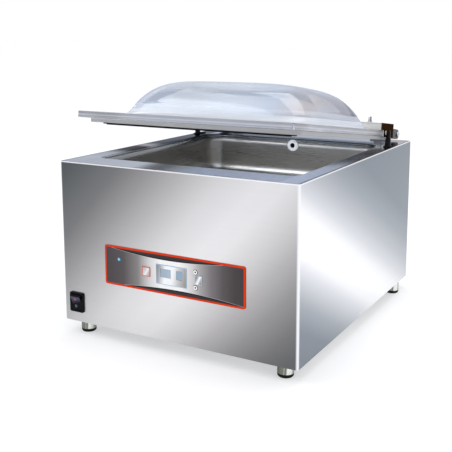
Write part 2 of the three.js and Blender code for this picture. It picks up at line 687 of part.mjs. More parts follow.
// Gas spring pieces are drawn hanging from the ball at their own origin, then leaned to the foot.
function addGasSpring(name, side) {
  const spring = new THREE.Group();
  spring.position.set(side * (SIDE_X - STRUT.sideInset), STRUT_TOP.y, STRUT_TOP.z);
  spring.rotation.x = -STRUT_LEAN;
  machine.add(spring);
  const { radius, length, rodRadius, rodLength } = STRUT_BODY;
  const bore = rodRadius + 0.5;
  const profile = [
    [0, -30], [bore, -30], [bore, -length], [radius - 0.6, -length], [radius, -length + 1], [radius, -14],
    [4.6, -9], [4.2, 3], [3.4, 5], [0, 5],
  ];
  const tube = turned(profile, 'y', [0, 0, 0], 16);
  const socket = new THREE.SphereGeometry(4, 12, 8);
  const mouth = bar('x', 3, 10, [-side * 5, 0, 0], 12);
  const hollow = cut(tube, solidOf(socket), mouth);
  const upright = new THREE.Group();
  upright.rotation.x = Math.PI / 2;
  spring.add(upright);
  add(`gas_cylinder_${name}`, hollow, blackPlastic(), upright);
  const eye = -STRUT_REACH;
  const shank = bar('y', rodRadius, rodLength, [0, eye + 4 + rodLength / 2, 0], 14);
  const lug = bar('x', 6, 8, [0, eye, 0], 18);
  add(`gas_rod_${name}`, join(shank, lug), chrome(), upright);
}

function addStrutMounts(name, side) {
  const ring = strutSlot(side, 1.4, DECK_Z + GAP, DECK_Z + 2);
  add(`strut_grommet_${name}`, cut(ring, strutSlot(side, -1, DECK_Z - 1, DECK_Z + 4)), blackRubber());
  const x = side * (SIDE_X - STRUT.sideInset);
  const [y, z] = [STRUT_FOOT.y, STRUT_FOOT.z];
  const wall = side * (SIDE_X - SHEET - GAP);
  const outer = side * (SIDE_X - STRUT.sideInset + 6);
  const inner = side * (SIDE_X - STRUT.sideInset - 8);
  const body = block([Math.min(wall, inner), Math.max(wall, inner)], [y - 11, y + 11], [z - 18, z + 8]);
  const [g0, g1] = [Math.min(outer, inner + side * 2), Math.max(outer, inner + side * 2)];
  const throat = block([g0, g1], [y - 20, y + 20], [z - 14, z + 20]);
  const hole = bar('x', 3, 40, [x, y, z], 14);
  add(`strut_anchor_${name}`, cut(body, throat, hole), aluminium());
}

// ---- hinge ----
const BRACKET = { x: 178, width: 16 };

function hingeBracket(side) {
  const x0 = side * BRACKET.x - BRACKET.width / 2;
  const arch = arcPoints(12, 0, 180, 10).map(([u, v]) => [HINGE.y + u, HINGE.z + v]);
  const low = DECK_Z + GAP;
  const ear = sideProfile([[HINGE.y - 12, low], [HINGE.y + 12, low], ...arch], x0, x0 + BRACKET.width);
  const foot = block([x0 - 9, x0 + BRACKET.width + 9], [HINGE.y - 12, HINGE.y + 12], [low, low + 3]);
  const bore = bar('x', HINGE.shaftRadius + GAP, 40, [side * BRACKET.x, HINGE.y, HINGE.z], 24);
  return cut(join(ear, foot), bore);
}

function addHinge() {
  const { shaftRadius: r, shaftHalf: half } = HINGE;
  const bevel = 1.2;
  const ends = [[0, half], [r - bevel, half], [r, half - bevel]];
  const profile = [...ends.map(([radius, x]) => [radius, -x]), ...ends.reverse()];
  add('hinge_shaft', turned(profile, 'x', [0, HINGE.y, HINGE.z], 24), finish(0xb8bcc0, 0.2, 0.4));
  for (const [name, side] of Object.entries(SIDES)) {
    add(`hinge_bracket_${name}`, hingeBracket(side), brushed());
  }
}

// ---- seal bar ----
function addSealBar() {
  const { half, front, rear, top, height, liftX, liftRadius, pistonRadius } = SEAL;
  const beamTop = DECK_Z + top - 2.2;
  const beam = block([-half, half], [fromFront(front), fromFront(rear)], [beamTop - height, beamTop]);
  const y = fromFront(front + 9.5);
  const pistons = [-liftX, liftX].map((x) => (
    bar('z', pistonRadius, 26, [x, y, beamTop - height - 12], 16)
  ));
  add('seal_bar', join(beam, ...pistons), aluminium());
  const tapeFront = fromFront(front + 3);
  const tape = block([-half + 6, half - 6], [tapeFront, fromFront(rear - 3)], [beamTop + GAP, DECK_Z + top]);
  add('seal_element', tape, finish(0x8c6a3c, 0, 0.6));
  const cavity = loft(tubLevels(-0.5));
  for (const [name, side] of Object.entries(SIDES)) {
    const floor = DECK_Z - CHAMBER.depth;
    const can = bar('z', liftRadius, 36, [side * liftX, y, floor + 19], 20).intersect(cavity);
    const bore = bar('z', pistonRadius + 0.4, 40, [side * liftX, y, floor + 26], 16);
    add(`seal_lift_${name}`, cut(can, bore), aluminium());
  }
}

// ---- vacuum system and electrics ----
function nozzleRing() {
  const wall = CHAMBER.rear - 1.1;
  const face = -4.2;
  const profile = [
    [NOZZLE.bore, face], [11, face], [12.5, face + 1.2], [12.5, -0.6], [NOZZLE.wallRadius - GAP, -0.6],
    [NOZZLE.wallRadius - GAP, 14], [NOZZLE.bore, 14], [NOZZLE.bore, face],
  ];
  return turned(profile, 'y', nozzlePlace(wall), 24);
}

const VALVE = { x: 60, y: 245, z: 236 };

function suctionHose() {
  const start = new THREE.Vector3(...nozzlePlace(CHAMBER.rear + 13.5));
  const end = new THREE.Vector3(VALVE.x - 20.5, VALVE.y, VALVE.z);
  const route = new THREE.CatmullRomCurve3([
    start,
    start.clone().add(new THREE.Vector3(0, 12, 0)),
    start.clone().add(new THREE.Vector3(8, 30, -18)),
    end.clone().add(new THREE.Vector3(-32, 2, 26)),
    end.clone().add(new THREE.Vector3(-14, 0, 0)),
    end,
  ]);
  const section = new THREE.Shape();
  section.absarc(0, 0, 7, 0, Math.PI * 2);
  return solidOf(new THREE.ExtrudeGeometry(section, { extrudePath: route, steps: 18, curveSegments: 5 }));
}

const PUMP = { x0: -20, x1: 110, front: 30, rear: 190, top: 196, tankRear: 218, finPitch: 16 };

function vacuumPump() {
  const floor = BASE_Z + SHEET + GAP;
  const { x0, x1, front, rear, top, tankRear, finPitch } = PUMP;
  const body = block([x0, x1], [front, rear], [floor + 10, top]);
  const tank = block([x0, x1], [rear, tankRear], [floor + 30, top - 20]);
  const fins = Array.from({ length: 8 }, (_, i) => x0 + 6 + i * finPitch).map((x) => (
    block([x, x + 6], [front - 6, front + 1], [60, top - 10])
  ));
  const feet = block([x0 + 6, x1 - 6], [front + 10, rear - 10], [floor, floor + 11]);
  const port = bar('z', 14, 24, [(x0 + x1) / 2, (front + rear) / 2, top + 10], 20);
  const sight = bar('x', 9, 6, [x1 + 2, tankRear - 13, 90], 18);
  return join(body, tank, ...fins, feet, port, sight);
}

const MOTOR = { x0: -168, x1: -20.4, y: 108, z: 116, radius: 58, finPitch: 16 };

function pumpMotor() {
  const { x0, x1, y, z, radius, finPitch } = MOTOR;
  const profile = [[0, x0], [radius - 6, x0], [radius, x0 + 5], [radius, x0 + 30]];
  for (let x = x0 + 34; x < x1 - 30; x += finPitch) {
    profile.push([radius - 6, x], [radius - 6, x + 8], [radius, x + 8.5], [radius, x + 15.5]);
  }
  profile.push([radius, x1 - 12], [44, x1 - 10], [44, x1], [0, x1]);
  const box = block([-130, -70], [y - 26, y + 26], [z + 50, z + 80]);
  return join(turned(profile, 'x', [0, y, z], 20), box);
}

const TRANSFORMER = { x: -154, y: -195, halfWidth: 42, halfDepth: 35, top: 110 };

function transformer() {
  const { x, y, halfWidth, halfDepth, top } = TRANSFORMER;
  const floor = BASE_Z + SHEET + GAP;
  const core = block([x - halfWidth, x + halfWidth], [y - halfDepth, y + halfDepth], [floor, top]);
  const coilWidth = halfWidth - 16;
  const coilDepth = halfDepth + 14;
  const coil = block([x - coilWidth, x + coilWidth], [y - coilDepth, y + coilDepth], [48, 94]);
  return join(core, coil);
}

function solenoidValve() {
  const { x, y, z } = VALVE;
  const body = block([x - 20, x + 20], [y - 16, y + 16], [z - 14, z + 12]);
  const coil = bar('z', 16, 34, [x, y, z + 28], 22);
  const outlet = bar('z', 9, 30, [x, y, z - 26], 18);
  return join(body, coil, outlet);
}

function mainsInlet() {
  const { x, z, halfWidth: w, halfHeight: h } = INLET;
  const outline = roundedRect(x - w - 11, x + w + 11, z - h - 2, z + h + 2, 5);
  const plate = facePlate(outline, REAR_Y + GAP, REAR_Y + 3);
  const can = block([x - w, x + w], [REAR_Y - 24, REAR_Y + 2], [z - h, z + h]);
  const cavity = block([x - w + 2, x + w - 2], [REAR_Y - 18, REAR_Y + 5], [z - h + 2, z + h - 2]);
  const pins = [[-7, -1], [7, -1], [0, 3]].map(([dx, dz]) => (
    block([x + dx - 1, x + dx + 1], [REAR_Y - 19, REAR_Y - 5], [z + dz - 2, z + dz + 2])
  ));
  return join(cut(join(plate, can), cavity), ...pins);
}

function exhaustOutlet() {
  const { radius, hole, proud } = EXHAUST;
  const bore = 5;
  const profile = [
    [bore, -18], [hole, -18], [hole, GAP], [radius, GAP],
    [radius, proud - 3], [radius - 3, proud], [bore, proud], [bore, -18],
  ];
  return turned(profile, 'y', [EXHAUST.x, REAR_Y, EXHAUST.z], 20);
}

add('cabinet_shell', cabinetShell(), brushed());
add('rear_panel', rearPanel(), brushed());
add('base_plate', basePlate(), brushed());
add('deck_plate', deckPlate(), polished());
add('chamber_tub', chamberTub(), polished());
addFeet();
addControlPanel();
add('switch_housing', switchHousing(), blackPlastic());
add('switch_rocker', rocker(), blackPlastic());
add('nozzle_ring', nozzleRing(), finish(0xf2f2ef, 0, 0.35));
add('suction_hose', suctionHose(), blackRubber());
add('vacuum_pump', vacuumPump(), finish(0x8d9196, 0.6, 0.5));
add('pump_motor', pumpMotor(), finish(0x5d6266, 0.4, 0.5));
add('transformer', transformer(), finish(0x6b6254, 0.5, 0.6));
add('solenoid_valve', solenoidValve(), finish(0x2c2c2e, 0.2, 0.5));
add('mains_inlet', mainsInlet(), blackPlastic());
add('exhaust_outlet', exhaustOutlet(), blackPlastic());
addHinge();
addLid();
for (const [name, side] of Object.entries(SIDES)) {
  addGasSpring(name, side);
  addStrutMounts(name, side);
}
addSealBar();

export default machine;
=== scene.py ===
import math

import bmesh
import bpy
from mathutils import Matrix, Vector
from mathutils.geometry import tessellate_polygon


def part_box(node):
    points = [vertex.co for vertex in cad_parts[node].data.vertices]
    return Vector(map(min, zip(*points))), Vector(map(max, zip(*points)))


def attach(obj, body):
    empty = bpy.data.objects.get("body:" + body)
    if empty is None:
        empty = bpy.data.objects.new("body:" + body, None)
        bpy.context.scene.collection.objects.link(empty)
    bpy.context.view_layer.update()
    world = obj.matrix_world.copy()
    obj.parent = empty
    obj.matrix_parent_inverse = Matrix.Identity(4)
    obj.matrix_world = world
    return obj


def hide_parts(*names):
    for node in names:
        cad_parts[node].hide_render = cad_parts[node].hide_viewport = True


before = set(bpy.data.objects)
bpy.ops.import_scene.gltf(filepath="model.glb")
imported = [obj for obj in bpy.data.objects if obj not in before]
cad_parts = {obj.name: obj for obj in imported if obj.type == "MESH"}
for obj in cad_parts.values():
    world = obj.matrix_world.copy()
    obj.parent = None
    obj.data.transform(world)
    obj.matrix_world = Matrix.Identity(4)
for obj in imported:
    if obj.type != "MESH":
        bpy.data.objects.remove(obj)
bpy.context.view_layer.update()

MM = 0.001

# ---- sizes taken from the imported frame, in metres ----
shell_low, shell_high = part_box("cabinet_shell")
deck_low, deck_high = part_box("deck_plate")
tub_low, tub_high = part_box("chamber_tub")
SIDE_X = shell_high.x
FRONT_Y = shell_low.y
BASE_Z, DECK_Z = shell_low.z, shell_high.z
WIDTH, DEPTH, HEIGHT = 2 * SIDE_X, shell_high.y - shell_low.y, DECK_Z - BASE_Z
HINGE = Vector((0, FRONT_Y + 569 * MM, DECK_Z + 14 * MM))
LID_REST = math.radians(7.64)
SHEET = 1.5 * MM
TUB = (tub_low.x + SHEET, tub_high.x - SHEET, tub_low.y + SHEET, tub_high.y - SHEET)
LID_TILT = Matrix.Translation(HINGE) @ Matrix.Rotation(-LID_REST, 4, "X") @ Matrix.Translation(-HINGE)

# ---- the lid when shut, from the cabinet's sides, its front and its deck ----
FLANGE = {
    "side": 23 * MM, "front": 20 * MM, "rear": 505 * MM, "low": 8 * MM, "thick": 12 * MM, "corner": 8 * MM,
}
DOME = {
    "side": 45 * MM, "front": 125 * MM, "rear": 427 * MM, "rise": 74 * MM, "outer": 4 * MM, "wall": 4 * MM,
    "fall": 1.72, "spread": 5.23, "oval": 3.6, "turn": 0.83,
}
DOME_CORNER = {"front": 46 * MM, "rear": 36 * MM}


def linear(code):
    """An sRGB hex colour as linear RGBA."""
    parts = [int(code[i:i + 2], 16) / 255 for i in (0, 2, 4)]
    return [c / 12.92 if c <= 0.04045 else ((c + 0.055) / 1.055) ** 2.4 for c in parts] + [1]


# ---- node helpers ----
def fill_ramp(band, stops):
    """Colour ramp stops in rising order: the two ends that every ramp has, then those between."""
    for element, (position, colour) in zip(band.elements, (stops[0], stops[-1])):
        element.position, element.color = position, colour
    for position, colour in stops[1:-1]:
        band.elements.new(position).color = colour


class Look:
    """One Principled material and the tools to build its node tree."""

    def __init__(self, name, **constants):
        self.material = bpy.data.materials.new(name)
        self.material.use_nodes = True
        self.tree = self.material.node_tree
        self.shader = self.tree.nodes["Principled BSDF"]
        for socket, value in constants.items():
            self.shader.inputs[socket.replace("_", " ")].default_value = value
        self.coordinates = self.tree.nodes.new("ShaderNodeTexCoord")
        self.place = self.coordinates.outputs["Object"]
        self.x, self.y, self.z = self.split(self.place)

    def node(self, kind, inputs, **settings):
        made = self.tree.nodes.new(kind)
        for key, value in settings.items():
            setattr(made, key, value)
        for key, value in inputs.items():
            if isinstance(value, bpy.types.NodeSocket):
                self.tree.links.new(value, made.inputs[key])
            else:
                made.inputs[key].default_value = value
        return made

    def split(self, vector):
        return self.node("ShaderNodeSeparateXYZ", {0: vector}).outputs[:3]

    def normal(self):
        return self.split(self.coordinates.outputs["Normal"])

    def math(self, operation, first, second=0.0, third=0.0, clamp=False):
        made = self.node("ShaderNodeMath", {0: first, 1: second, 2: third}, operation=operation)
        made.use_clamp = clamp
        return made.outputs[0]

    def scale(self, value, factor, offset=0.0, clamp=False):
        return self.math("MULTIPLY_ADD", value, factor, offset, clamp)

    def step(self, value, edge, soft=0.0002):
        """0 below the edge and 1 above it, over a soft width."""
        limits = {"Value": value, "From Min": edge - soft, "From Max": edge + soft}
        return self.node("ShaderNodeMapRange", limits).outputs[0]

    def below(self, value, edge, soft=0.0002, amount=1.0):
        """The amount below the edge and 0 above it."""
        return self.scale(self.step(value, edge, soft), -amount, amount)

    def ramp(self, value, stops):
        """Colours blended through (position, colour) stops, given in rising order."""
        made = self.node("ShaderNodeValToRGB", {"Fac": value})
        fill_ramp(made.color_ramp, [(position, linear(code)) for position, code in stops])
        return made.outputs["Color"]

    def noise(self, scale, stretch=(1, 1, 1), detail=3.0, roughness=0.5, distortion=0.0):
        mapped = self.node("ShaderNodeMapping", {"Vector": self.place, "Scale": stretch}).outputs[0]
        inputs = {"Vector": mapped, "Scale": scale, "Detail": detail}
        inputs.update({"Roughness": roughness, "Distortion": distortion})
        return self.node("ShaderNodeTexNoise", inputs).outputs["Fac"]

    def mix(self, factor, first, second, blend="MIX"):
        made = self.node("ShaderNodeMix", {0: factor}, data_type="RGBA", blend_type=blend)
        for socket, value in ((made.inputs[6], first), (made.inputs[7], second)):
            if isinstance(value, bpy.types.NodeSocket):
                self.tree.links.new(value, socket)
            else:
                socket.default_value = linear(value) if isinstance(value, str) else value
        return made.outputs[2]

    def shade(self, colour, amount, low, high):
        """The colour made darker or lighter by a value from 0 to 1."""
        level = self.spread(amount, low, high)
        grey = self.node("ShaderNodeCombineColor", {0: level, 1: level, 2: level}).outputs[0]
        return self.mix(1.0, colour, grey, "MULTIPLY")

    def off_line(self, x, z):
        """Distance from a line that runs from front to rear through (x, z)."""
        off_x, off_z = self.scale(self.x, 1.0, -x), self.scale(self.z, 1.0, -z)
        return self.math("SQRT", self.math("MULTIPLY_ADD", off_x, off_x, self.math("MULTIPLY", off_z, off_z)))

    def lid_height(self):
        """Height above the deck, measured square to the lid."""
        rise = self.scale(self.z, math.cos(LID_REST), HINGE.z - DECK_Z - HINGE.z * math.cos(LID_REST))
        return self.math("ADD", rise, self.scale(self.y, math.sin(LID_REST), -HINGE.y * math.sin(LID_REST)))

    def spread(self, value, low, high):
        """A value from 0 to 1 as one from low to high."""
        return self.node("ShaderNodeMapRange", {"Value": value, "To Min": low, "To Max": high}).outputs[0]

    def use(self, socket, value):
        if isinstance(value, bpy.types.NodeSocket):
            self.tree.links.new(value, self.shader.inputs[socket])
        elif isinstance(value, str):
            self.shader.inputs[socket].default_value = linear(value)
        else:
            self.shader.inputs[socket].default_value = value
        return self

    def bump(self, height, depth):
        made = self.node("ShaderNodeBump", {"Height": height, "Distance": depth, "Strength": 1.0})
        self.tree.links.new(made.outputs[0], self.shader.inputs["Normal"])
        return self


# ---- materials ----
HORIZONTAL = (3, 3, 900)


def brushed(look, tone, stretch=HORIZONTAL, contrast=0.05, rough=(0.26, 0.34)):
    """A rolled steel sheet: fine grain one way, cloudy variation and a few scuffs."""
    grain = look.noise(1.0, stretch, 4.0, 0.7)
    clouds = look.noise(5.0, detail=4.0)
    colour = look.shade(tone, grain, 1 - contrast, 1 + contrast)
    colour = look.shade(colour, clouds, 0.97, 1.03)
    look.use("Base Color", colour)
    wear = look.math("MULTIPLY_ADD", grain, 0.5, look.scale(clouds, 0.5))
    look.use("Roughness", look.spread(wear, *rough))
    look.bump(grain, 0.00002)
    return look.material


def cabinet_steel():
    """Brushed sheet with a painted slanting sheen on the front and on the sides, and painted highlights on
    its folded edges.
    """
    front_lean, front_reach = 0.57, 1.55
    side_start, side_reach = 0.6, 1.6
    look = Look("cabinet_steel", Metallic=1.0, Anisotropic=0.3)
    across = look.scale(look.x, 1 / WIDTH, 0.5)
    down = look.scale(look.z, -1 / HEIGHT, DECK_Z / HEIGHT)
    back = look.scale(look.y, 1 / DEPTH, 0.5)
    # The front and side ramps are a painted sheen: bands of light and shade that run slantwise across the
    # sheet.
    front_sheen_place = look.scale(look.math("MULTIPLY_ADD", down, front_lean, across), 1 / front_reach)
    front = look.ramp(front_sheen_place, [
        (0.03, "5a5f62"), (0.18, "7b7c7e"), (0.27, "9b9a9c"), (0.37, "bdbcbd"), (0.465, "dbdbdd"),
        (0.56, "eaeaec"), (0.62, "e9e9eb"), (0.70, "d3d3d4"), (0.77, "b8b6b8"), (0.845, "99999a"),
        (0.92, "7e7e80"), (0.98, "6b6e70"),
    ])
    side_sheen_place = look.scale(look.math("SUBTRACT", down, back), 1 / side_reach, side_start / side_reach)
    side = look.ramp(side_sheen_place, [
        (0.09, "7a828b"), (0.21, "9299a1"), (0.306, "b2b5bb"), (0.388, "d0d2d6"), (0.45, "eeeef0"),
        (0.53, "ffffff"), (0.61, "f1f1f3"), (0.656, "dadbe0"), (0.74, "b1b5bb"), (0.78, "9ca2aa"),
        (0.86, "7f8790"), (0.96, "7a828b"),
    ])
    normal_x, normal_y, _ = look.normal()
    facing = look.math("ABSOLUTE", normal_x)
    tone = look.mix(look.step(facing, 0.7, 0.1), look.mix(1.0, front, "f1f0ef", "MULTIPLY"), side)
    # Painted highlight along the rounded vertical corners, where the normal turns between front and side.
    fold_highlight = look.math("ABSOLUTE", look.math("MULTIPLY", normal_x, normal_y))
    tone = look.mix(look.scale(fold_highlight, 1.8, clamp=True), tone, "f6f6f8")
    # Painted highlight along the top edge of the sheet, just under the deck.
    tone = look.mix(look.scale(look.step(look.z, DECK_Z - 1.9 * MM, 0.0004), 0.8), tone, "fafafa")
    return brushed(look, tone)


def sheet_steel(name, code, stretch=HORIZONTAL, contrast=0.06, rough=(0.28, 0.38)):
    """Plain brushed sheet of one tone."""
    look = Look(name, Metallic=1.0, Anisotropic=0.3)
    drift = look.noise(2.2, detail=2.0)
    return brushed(look, look.shade(code, drift, 0.92, 1.08), stretch, contrast, rough)


def deck_steel():
    """Polished sheet with painted reflections: the soft dark and light patches that its surroundings leave in
    it.
    """
    look = Look("deck_steel", Metallic=1.0)
    across = look.scale(look.x, 1 / WIDTH, 0.5)
    back = look.scale(look.y, 1 / DEPTH, 0.5)
    # The front, left and right ramps, and the even tone behind the middle, are painted reflections laid out
    # by place on the deck.
    front = look.ramp(across, [
        (0.0, "9a9f9f"), (0.33, "b6bbbd"), (0.385, "383834"), (0.43, "3a3532"), (0.48, "6c645e"),
        (0.54, "929da6"), (0.7, "9aa0ae"), (0.85, "acb2c0"), (1.0, "b4b9c6"),
    ])
    left = look.ramp(back, [
        (0.0, "a4a8ac"), (0.12, "bcc0c4"), (0.24, "94969a"), (0.31, "3e3c3e"), (0.38, "46382f"),
        (0.43, "a39d9e"), (0.5, "55575e"), (0.6, "62656c"), (1.0, "6d7076"),
    ])
    right = look.ramp(back, [
        (0.0, "c4c9d6"), (0.35, "d8dde6"), (0.5, "e0e2ea"), (0.6, "f0f0f6"), (0.7, "fbfbfd"),
        (0.78, "c8c8cc"), (0.9, "b8aaa0"), (1.0, "9a8068"),
    ])
    edge = look.ramp(back, [
        (0.0, "ffffff"), (0.22, "f4f4f4"), (0.30, "8a8888"), (0.38, "8c8480"), (0.43, "f0eeee"),
        (0.5, "98989a"), (1.0, "a6a6a8"),
    ])
    # Painted shade in the reflection: on the left rim the specular tint follows the edge ramp's dark bands.
    look.use("Specular Tint", look.mix(look.step(look.x, TUB[0], 0.004), edge, "ffffff"))
    front = look.mix(look.step(look.y, 0.0, 0.02), front, "9aa0ab")
    tone = look.mix(look.step(look.x, TUB[0], 0.004), left, front)
    tone = look.mix(look.step(look.x, TUB[1], 0.004), tone, right)
    # Painted shade and dark reflection along the side edges, where the deck meets the side sheets.
    seam_shade = look.step(look.math("ABSOLUTE", look.x), deck_high.x - 2.4 * MM, 0.0006)
    tone = look.mix(seam_shade, tone, "1c130e")
    # Painted shade along the front edge, where the deck meets the front sheet.
    lip = look.below(look.y, deck_low.y + 1.6 * MM, 0.0005, 0.75)
    tone = look.mix(lip, tone, "3c3f42")
    return brushed(look, tone, (3, 3, 3), 0.02, (0.10, 0.16))


def tub_steel():
    """Drawn steel with painted shade on the left wall and a painted highlight where the walls meet the floor.
    """
    look = Look("tub_steel", Metallic=1.0)
    depth = look.scale(look.z, -1 / (DECK_Z - tub_low.z), DECK_Z / (DECK_Z - tub_low.z))
    # The depth ramp paints highlights: a bright band at the rim and a bright line at the rounded foot of the
    # walls.
    tone = look.ramp(depth, [
        (0.0, "e0dfdc"), (0.05, "cfcdc9"), (0.3, "c6c3be"), (0.7, "bebbb5"), (0.86, "e4e2dd"),
        (0.93, "cbc9c4"), (1.0, "c9c7c2"),
    ])
    # Painted shade: the left wall is darkened toward a dark grey-brown.
    left_wall_shade = look.below(look.x, TUB[0] + 9 * MM, 0.012, 0.6)
    tone = look.mix(left_wall_shade, tone, "3d3a36")
    smears = look.noise(9.0, (1, 1, 3), 3.0, 0.55, 0.6)
    return brushed(look, look.shade(tone, smears, 0.82, 1.12), (8, 8, 500), 0.08, (0.22, 0.34))


def polished(name, code, rough):
    """Smooth bright metal with a faint haze."""
    look = Look(name, Metallic=1.0)
    haze = look.noise(90.0, detail=4.0)
    look.use("Base Color", look.shade(code, haze, 0.93, 1.03))
    look.use("Roughness", look.spread(haze, *rough))
    look.bump(haze, 0.00001)
    return look.material


def painted_reflections(name, stops):
    """Bright turned metal with painted reflections: upright light and dark streaks set by which way its round
    side faces.
    """
    look = Look(name, Metallic=0.75, Specular_IOR_Level=0.1)
    sideways, forwards, _ = look.normal()
    around = look.math("ADD", look.scale(sideways, 0.45, 0.5), look.scale(forwards, 0.21))
    haze = look.noise(90.0, detail=4.0)
    look.use("Base Color", look.shade(look.ramp(around, stops), haze, 0.95, 1.03))
    look.use("Roughness", look.spread(haze, 0.12, 0.22))
    return look.material


def moulded(name, code, rough=(0.32, 0.46), grain=900.0, depth=0.00003, **constants):
    """Moulded plastic or rubber: a fine texture with slight tone changes."""
    look = Look(name, **constants)
    texture = look.noise(grain, detail=2.0)
    drift = look.noise(14.0, detail=3.0)
    colour = look.shade(code, drift, 0.85, 1.15)
    look.use("Base Color", look.shade(colour, texture, 0.94, 1.06))
    look.use("Roughness", look.spread(drift, *rough))
    look.bump(texture, depth)
    return look.material


def clear_acrylic(name, roughness, tone, **constants):
    """Clear plastic that lets lamps through, tinted by tone(look)."""
    look = Look(name, IOR=1.49, **constants)
    look.use("Base Color", tone(look))
    wipe = look.noise(6.0, detail=3.0)
    look.use("Roughness", look.spread(wipe, roughness, roughness * 2.0))
    through = look.node("ShaderNodeBsdfTransparent", {"Color": (0.93, 0.95, 0.98, 1)})
    path = look.node("ShaderNodeLightPath", {})
    sockets = {0: path.outputs["Is Shadow Ray"], 1: look.shader.outputs[0], 2: through.outputs[0]}
    both = look.node("ShaderNodeMixShader", sockets)
    look.tree.links.new(both.outputs[0], look.tree.nodes["Material Output"].inputs["Surface"])
    return look.material


def dome_tone(look):
    """Clear, with painted reflections: a little bluer and darker toward the right, with a warm band near the
    right edge.
    """
    across = look.scale(look.x, 1 / WIDTH, 0.5)
    tone = look.ramp(across, [
        (0.1, "e8eef7"), (0.35, "f0f4fa"), (0.6, "ebf0f8"), (0.75, "d9e2ee"), (0.87, "d9cfcb"),
        (0.95, "dde3ec"),
    ])
    return look.shade(tone, look.noise(3.0, detail=2.0), 0.97, 1.0)


def foot_tone(look):
    """The paler ring where the dome flares into the flange."""
    return look.shade("f2f6fc", look.noise(4.0, detail=2.0), 0.96, 1.0)


def edge_tone(look):
    """The sawn edge of the plate, with the streaks of its stacked reflections."""
    level = look.scale(look.lid_height(), 1 / FLANGE["thick"], -FLANGE["low"] / FLANGE["thick"])
    bands = look.ramp(level, [
        (0.0, "8a8a90"), (0.12, "c6c7cb"), (0.3, "a6a8ae"), (0.45, "d6d8dc"), (0.6, "b2b3b8"),
        (0.8, "aaa9ad"), (0.9, "a3a2a6"), (1.0, "cfcfd3"),
    ])
    return look.shade(bands, look.noise(1.0, (6, 6, 500), 3.0, 0.6), 0.85, 1.08)


PANEL_LOW, PANEL_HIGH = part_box("panel_overlay")
PANEL_BORDER = 3.4 * MM
ORANGE = "d8380c"


def from_edge(look, low, high):
    """How far a point is inside a rectangle seen from the front, in metres."""
    half_x, half_z = (high.x - low.x) / 2, (high.z - low.z) / 2
    off_x = look.math("ABSOLUTE", look.scale(look.x, 1.0, -(low.x + high.x) / 2))
    off_z = look.math("ABSOLUTE", look.scale(look.z, 1.0, -(low.z + high.z) / 2))
    return look.math("MINIMUM", look.scale(off_x, -1.0, half_x), look.scale(off_z, -1.0, half_z))


def panel_film():
    """The printed film: a bright middle, dark bowed bands above and below, and an orange border."""
    look = Look("panel_film", Roughness=0.4, Specular_IOR_Level=0.08)
    left = look.scale(look.x, 1.0, SIDE_X)
    colour = look.ramp(look.scale(left, 1 / 0.4), [
        (0.25, "484243"), (0.36, "585354"), (0.44, "858180"), (0.50, "cfccca"), (0.56, "f2f1f0"),
        (0.66, "f2f1f0"), (0.72, "d4d0ce"), (0.765, "a3a09f"), (0.815, "7b7677"), (0.875, "5a5556"),
        (0.93, "4a4445"), (0.985, "433c3d"),
    ])
    # A bowed dark band with a pale line along it: centre, half length, depth, straight edge and its side.
    bands = (
        (0.234, 0.116, 8.3 * MM, PANEL_HIGH.z - PANEL_BORDER, 1),
        (0.269, 0.124, 7.6 * MM, PANEL_LOW.z + PANEL_BORDER, -1),
    )
    for centre, half, thick, edge, sign in bands:
        off = look.scale(look.scale(left, 1.0, -centre), 1 / half)
        bow = look.scale(look.math("MULTIPLY", off, off), -thick, thick)
        height = look.math("ADD", look.scale(look.z, sign, -sign * edge), bow)
        inside = look.step(bow, 0.0)
        line = look.math("MULTIPLY", look.step(height, -0.0005), inside)
        colour = look.mix(line, colour, look.mix(0.55, colour, "e2e0de"))
        band = look.math("MULTIPLY", look.step(height, 0.0), inside)
        colour = look.mix(band, colour, look.mix(look.step(height, 0.0016, 0.0012), "131012", "3a3536"))
    colour = look.mix(look.below(from_edge(look, PANEL_LOW, PANEL_HIGH), PANEL_BORDER), colour, ORANGE)
    weave = look.noise(1.0, (900, 900, 6), 3.0)
    look.use("Base Color", look.shade(colour, weave, 0.96, 1.04))
    look.bump(look.noise(1500.0, detail=2.0), 0.00001)
    return look.material


def edged_plate(name, node, stops, edge_code, edge, metallic=0.0, rough=0.3, lean=0.0):
    """A printed or plated face with a thin outline and a painted sheen that runs across it."""
    low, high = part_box(node)
    look = Look(name, Metallic=metallic)
    run = look.scale(look.x, 1 / (high.x - low.x), -low.x / (high.x - low.x))
    rise = look.scale(look.z, 1 / (high.z - low.z), -low.z / (high.z - low.z))
    reach = 1 + abs(lean)
    slant = look.math("MULTIPLY_ADD", rise, lean, run)
    # Painted sheen: a slanting ramp of light and dark across the face.
    sheen = look.ramp(look.scale(slant, 1 / reach, max(-lean, 0) / reach), stops)
    colour = look.mix(look.below(from_edge(look, low, high), edge, 0.0003), sheen, edge_code)
    fleck = look.noise(700.0, detail=3.0)
    look.use("Base Color", look.shade(colour, fleck, 0.93, 1.05))
    look.use("Roughness", look.spread(fleck, rough * 0.85, rough * 1.15))
    look.bump(fleck, 0.00001)
    return look.material


def striped(name, code, dark, axis, pitch, **constants):
    """Stacked sheets or a wound coil: fine lines along one axis."""
    look = Look(name, **constants)
    place = {"X": look.x, "Z": look.z}[axis]
    wave = look.math("SINE", look.scale(place, 2 * math.pi / pitch))
    level = look.spread(wave, 0.0, 1.0)
    look.use("Base Color", look.shade(look.mix(level, dark, code), look.noise(60.0), 0.85, 1.1))
    look.bump(wave, 0.00008)
    return look.material


def floor_look():
    """A pale floor, lit enough from itself to fade into the white behind."""
    look = Look("floor_pale", Roughness=0.75, Specular_IOR_Level=0.1, Emission_Strength=0.46)
    look.use("Emission Color", "ffffff")
    look.use("Base Color", look.shade("c9c9c9", look.noise(1.5, detail=4.0), 0.995, 1.005))
    return look.material


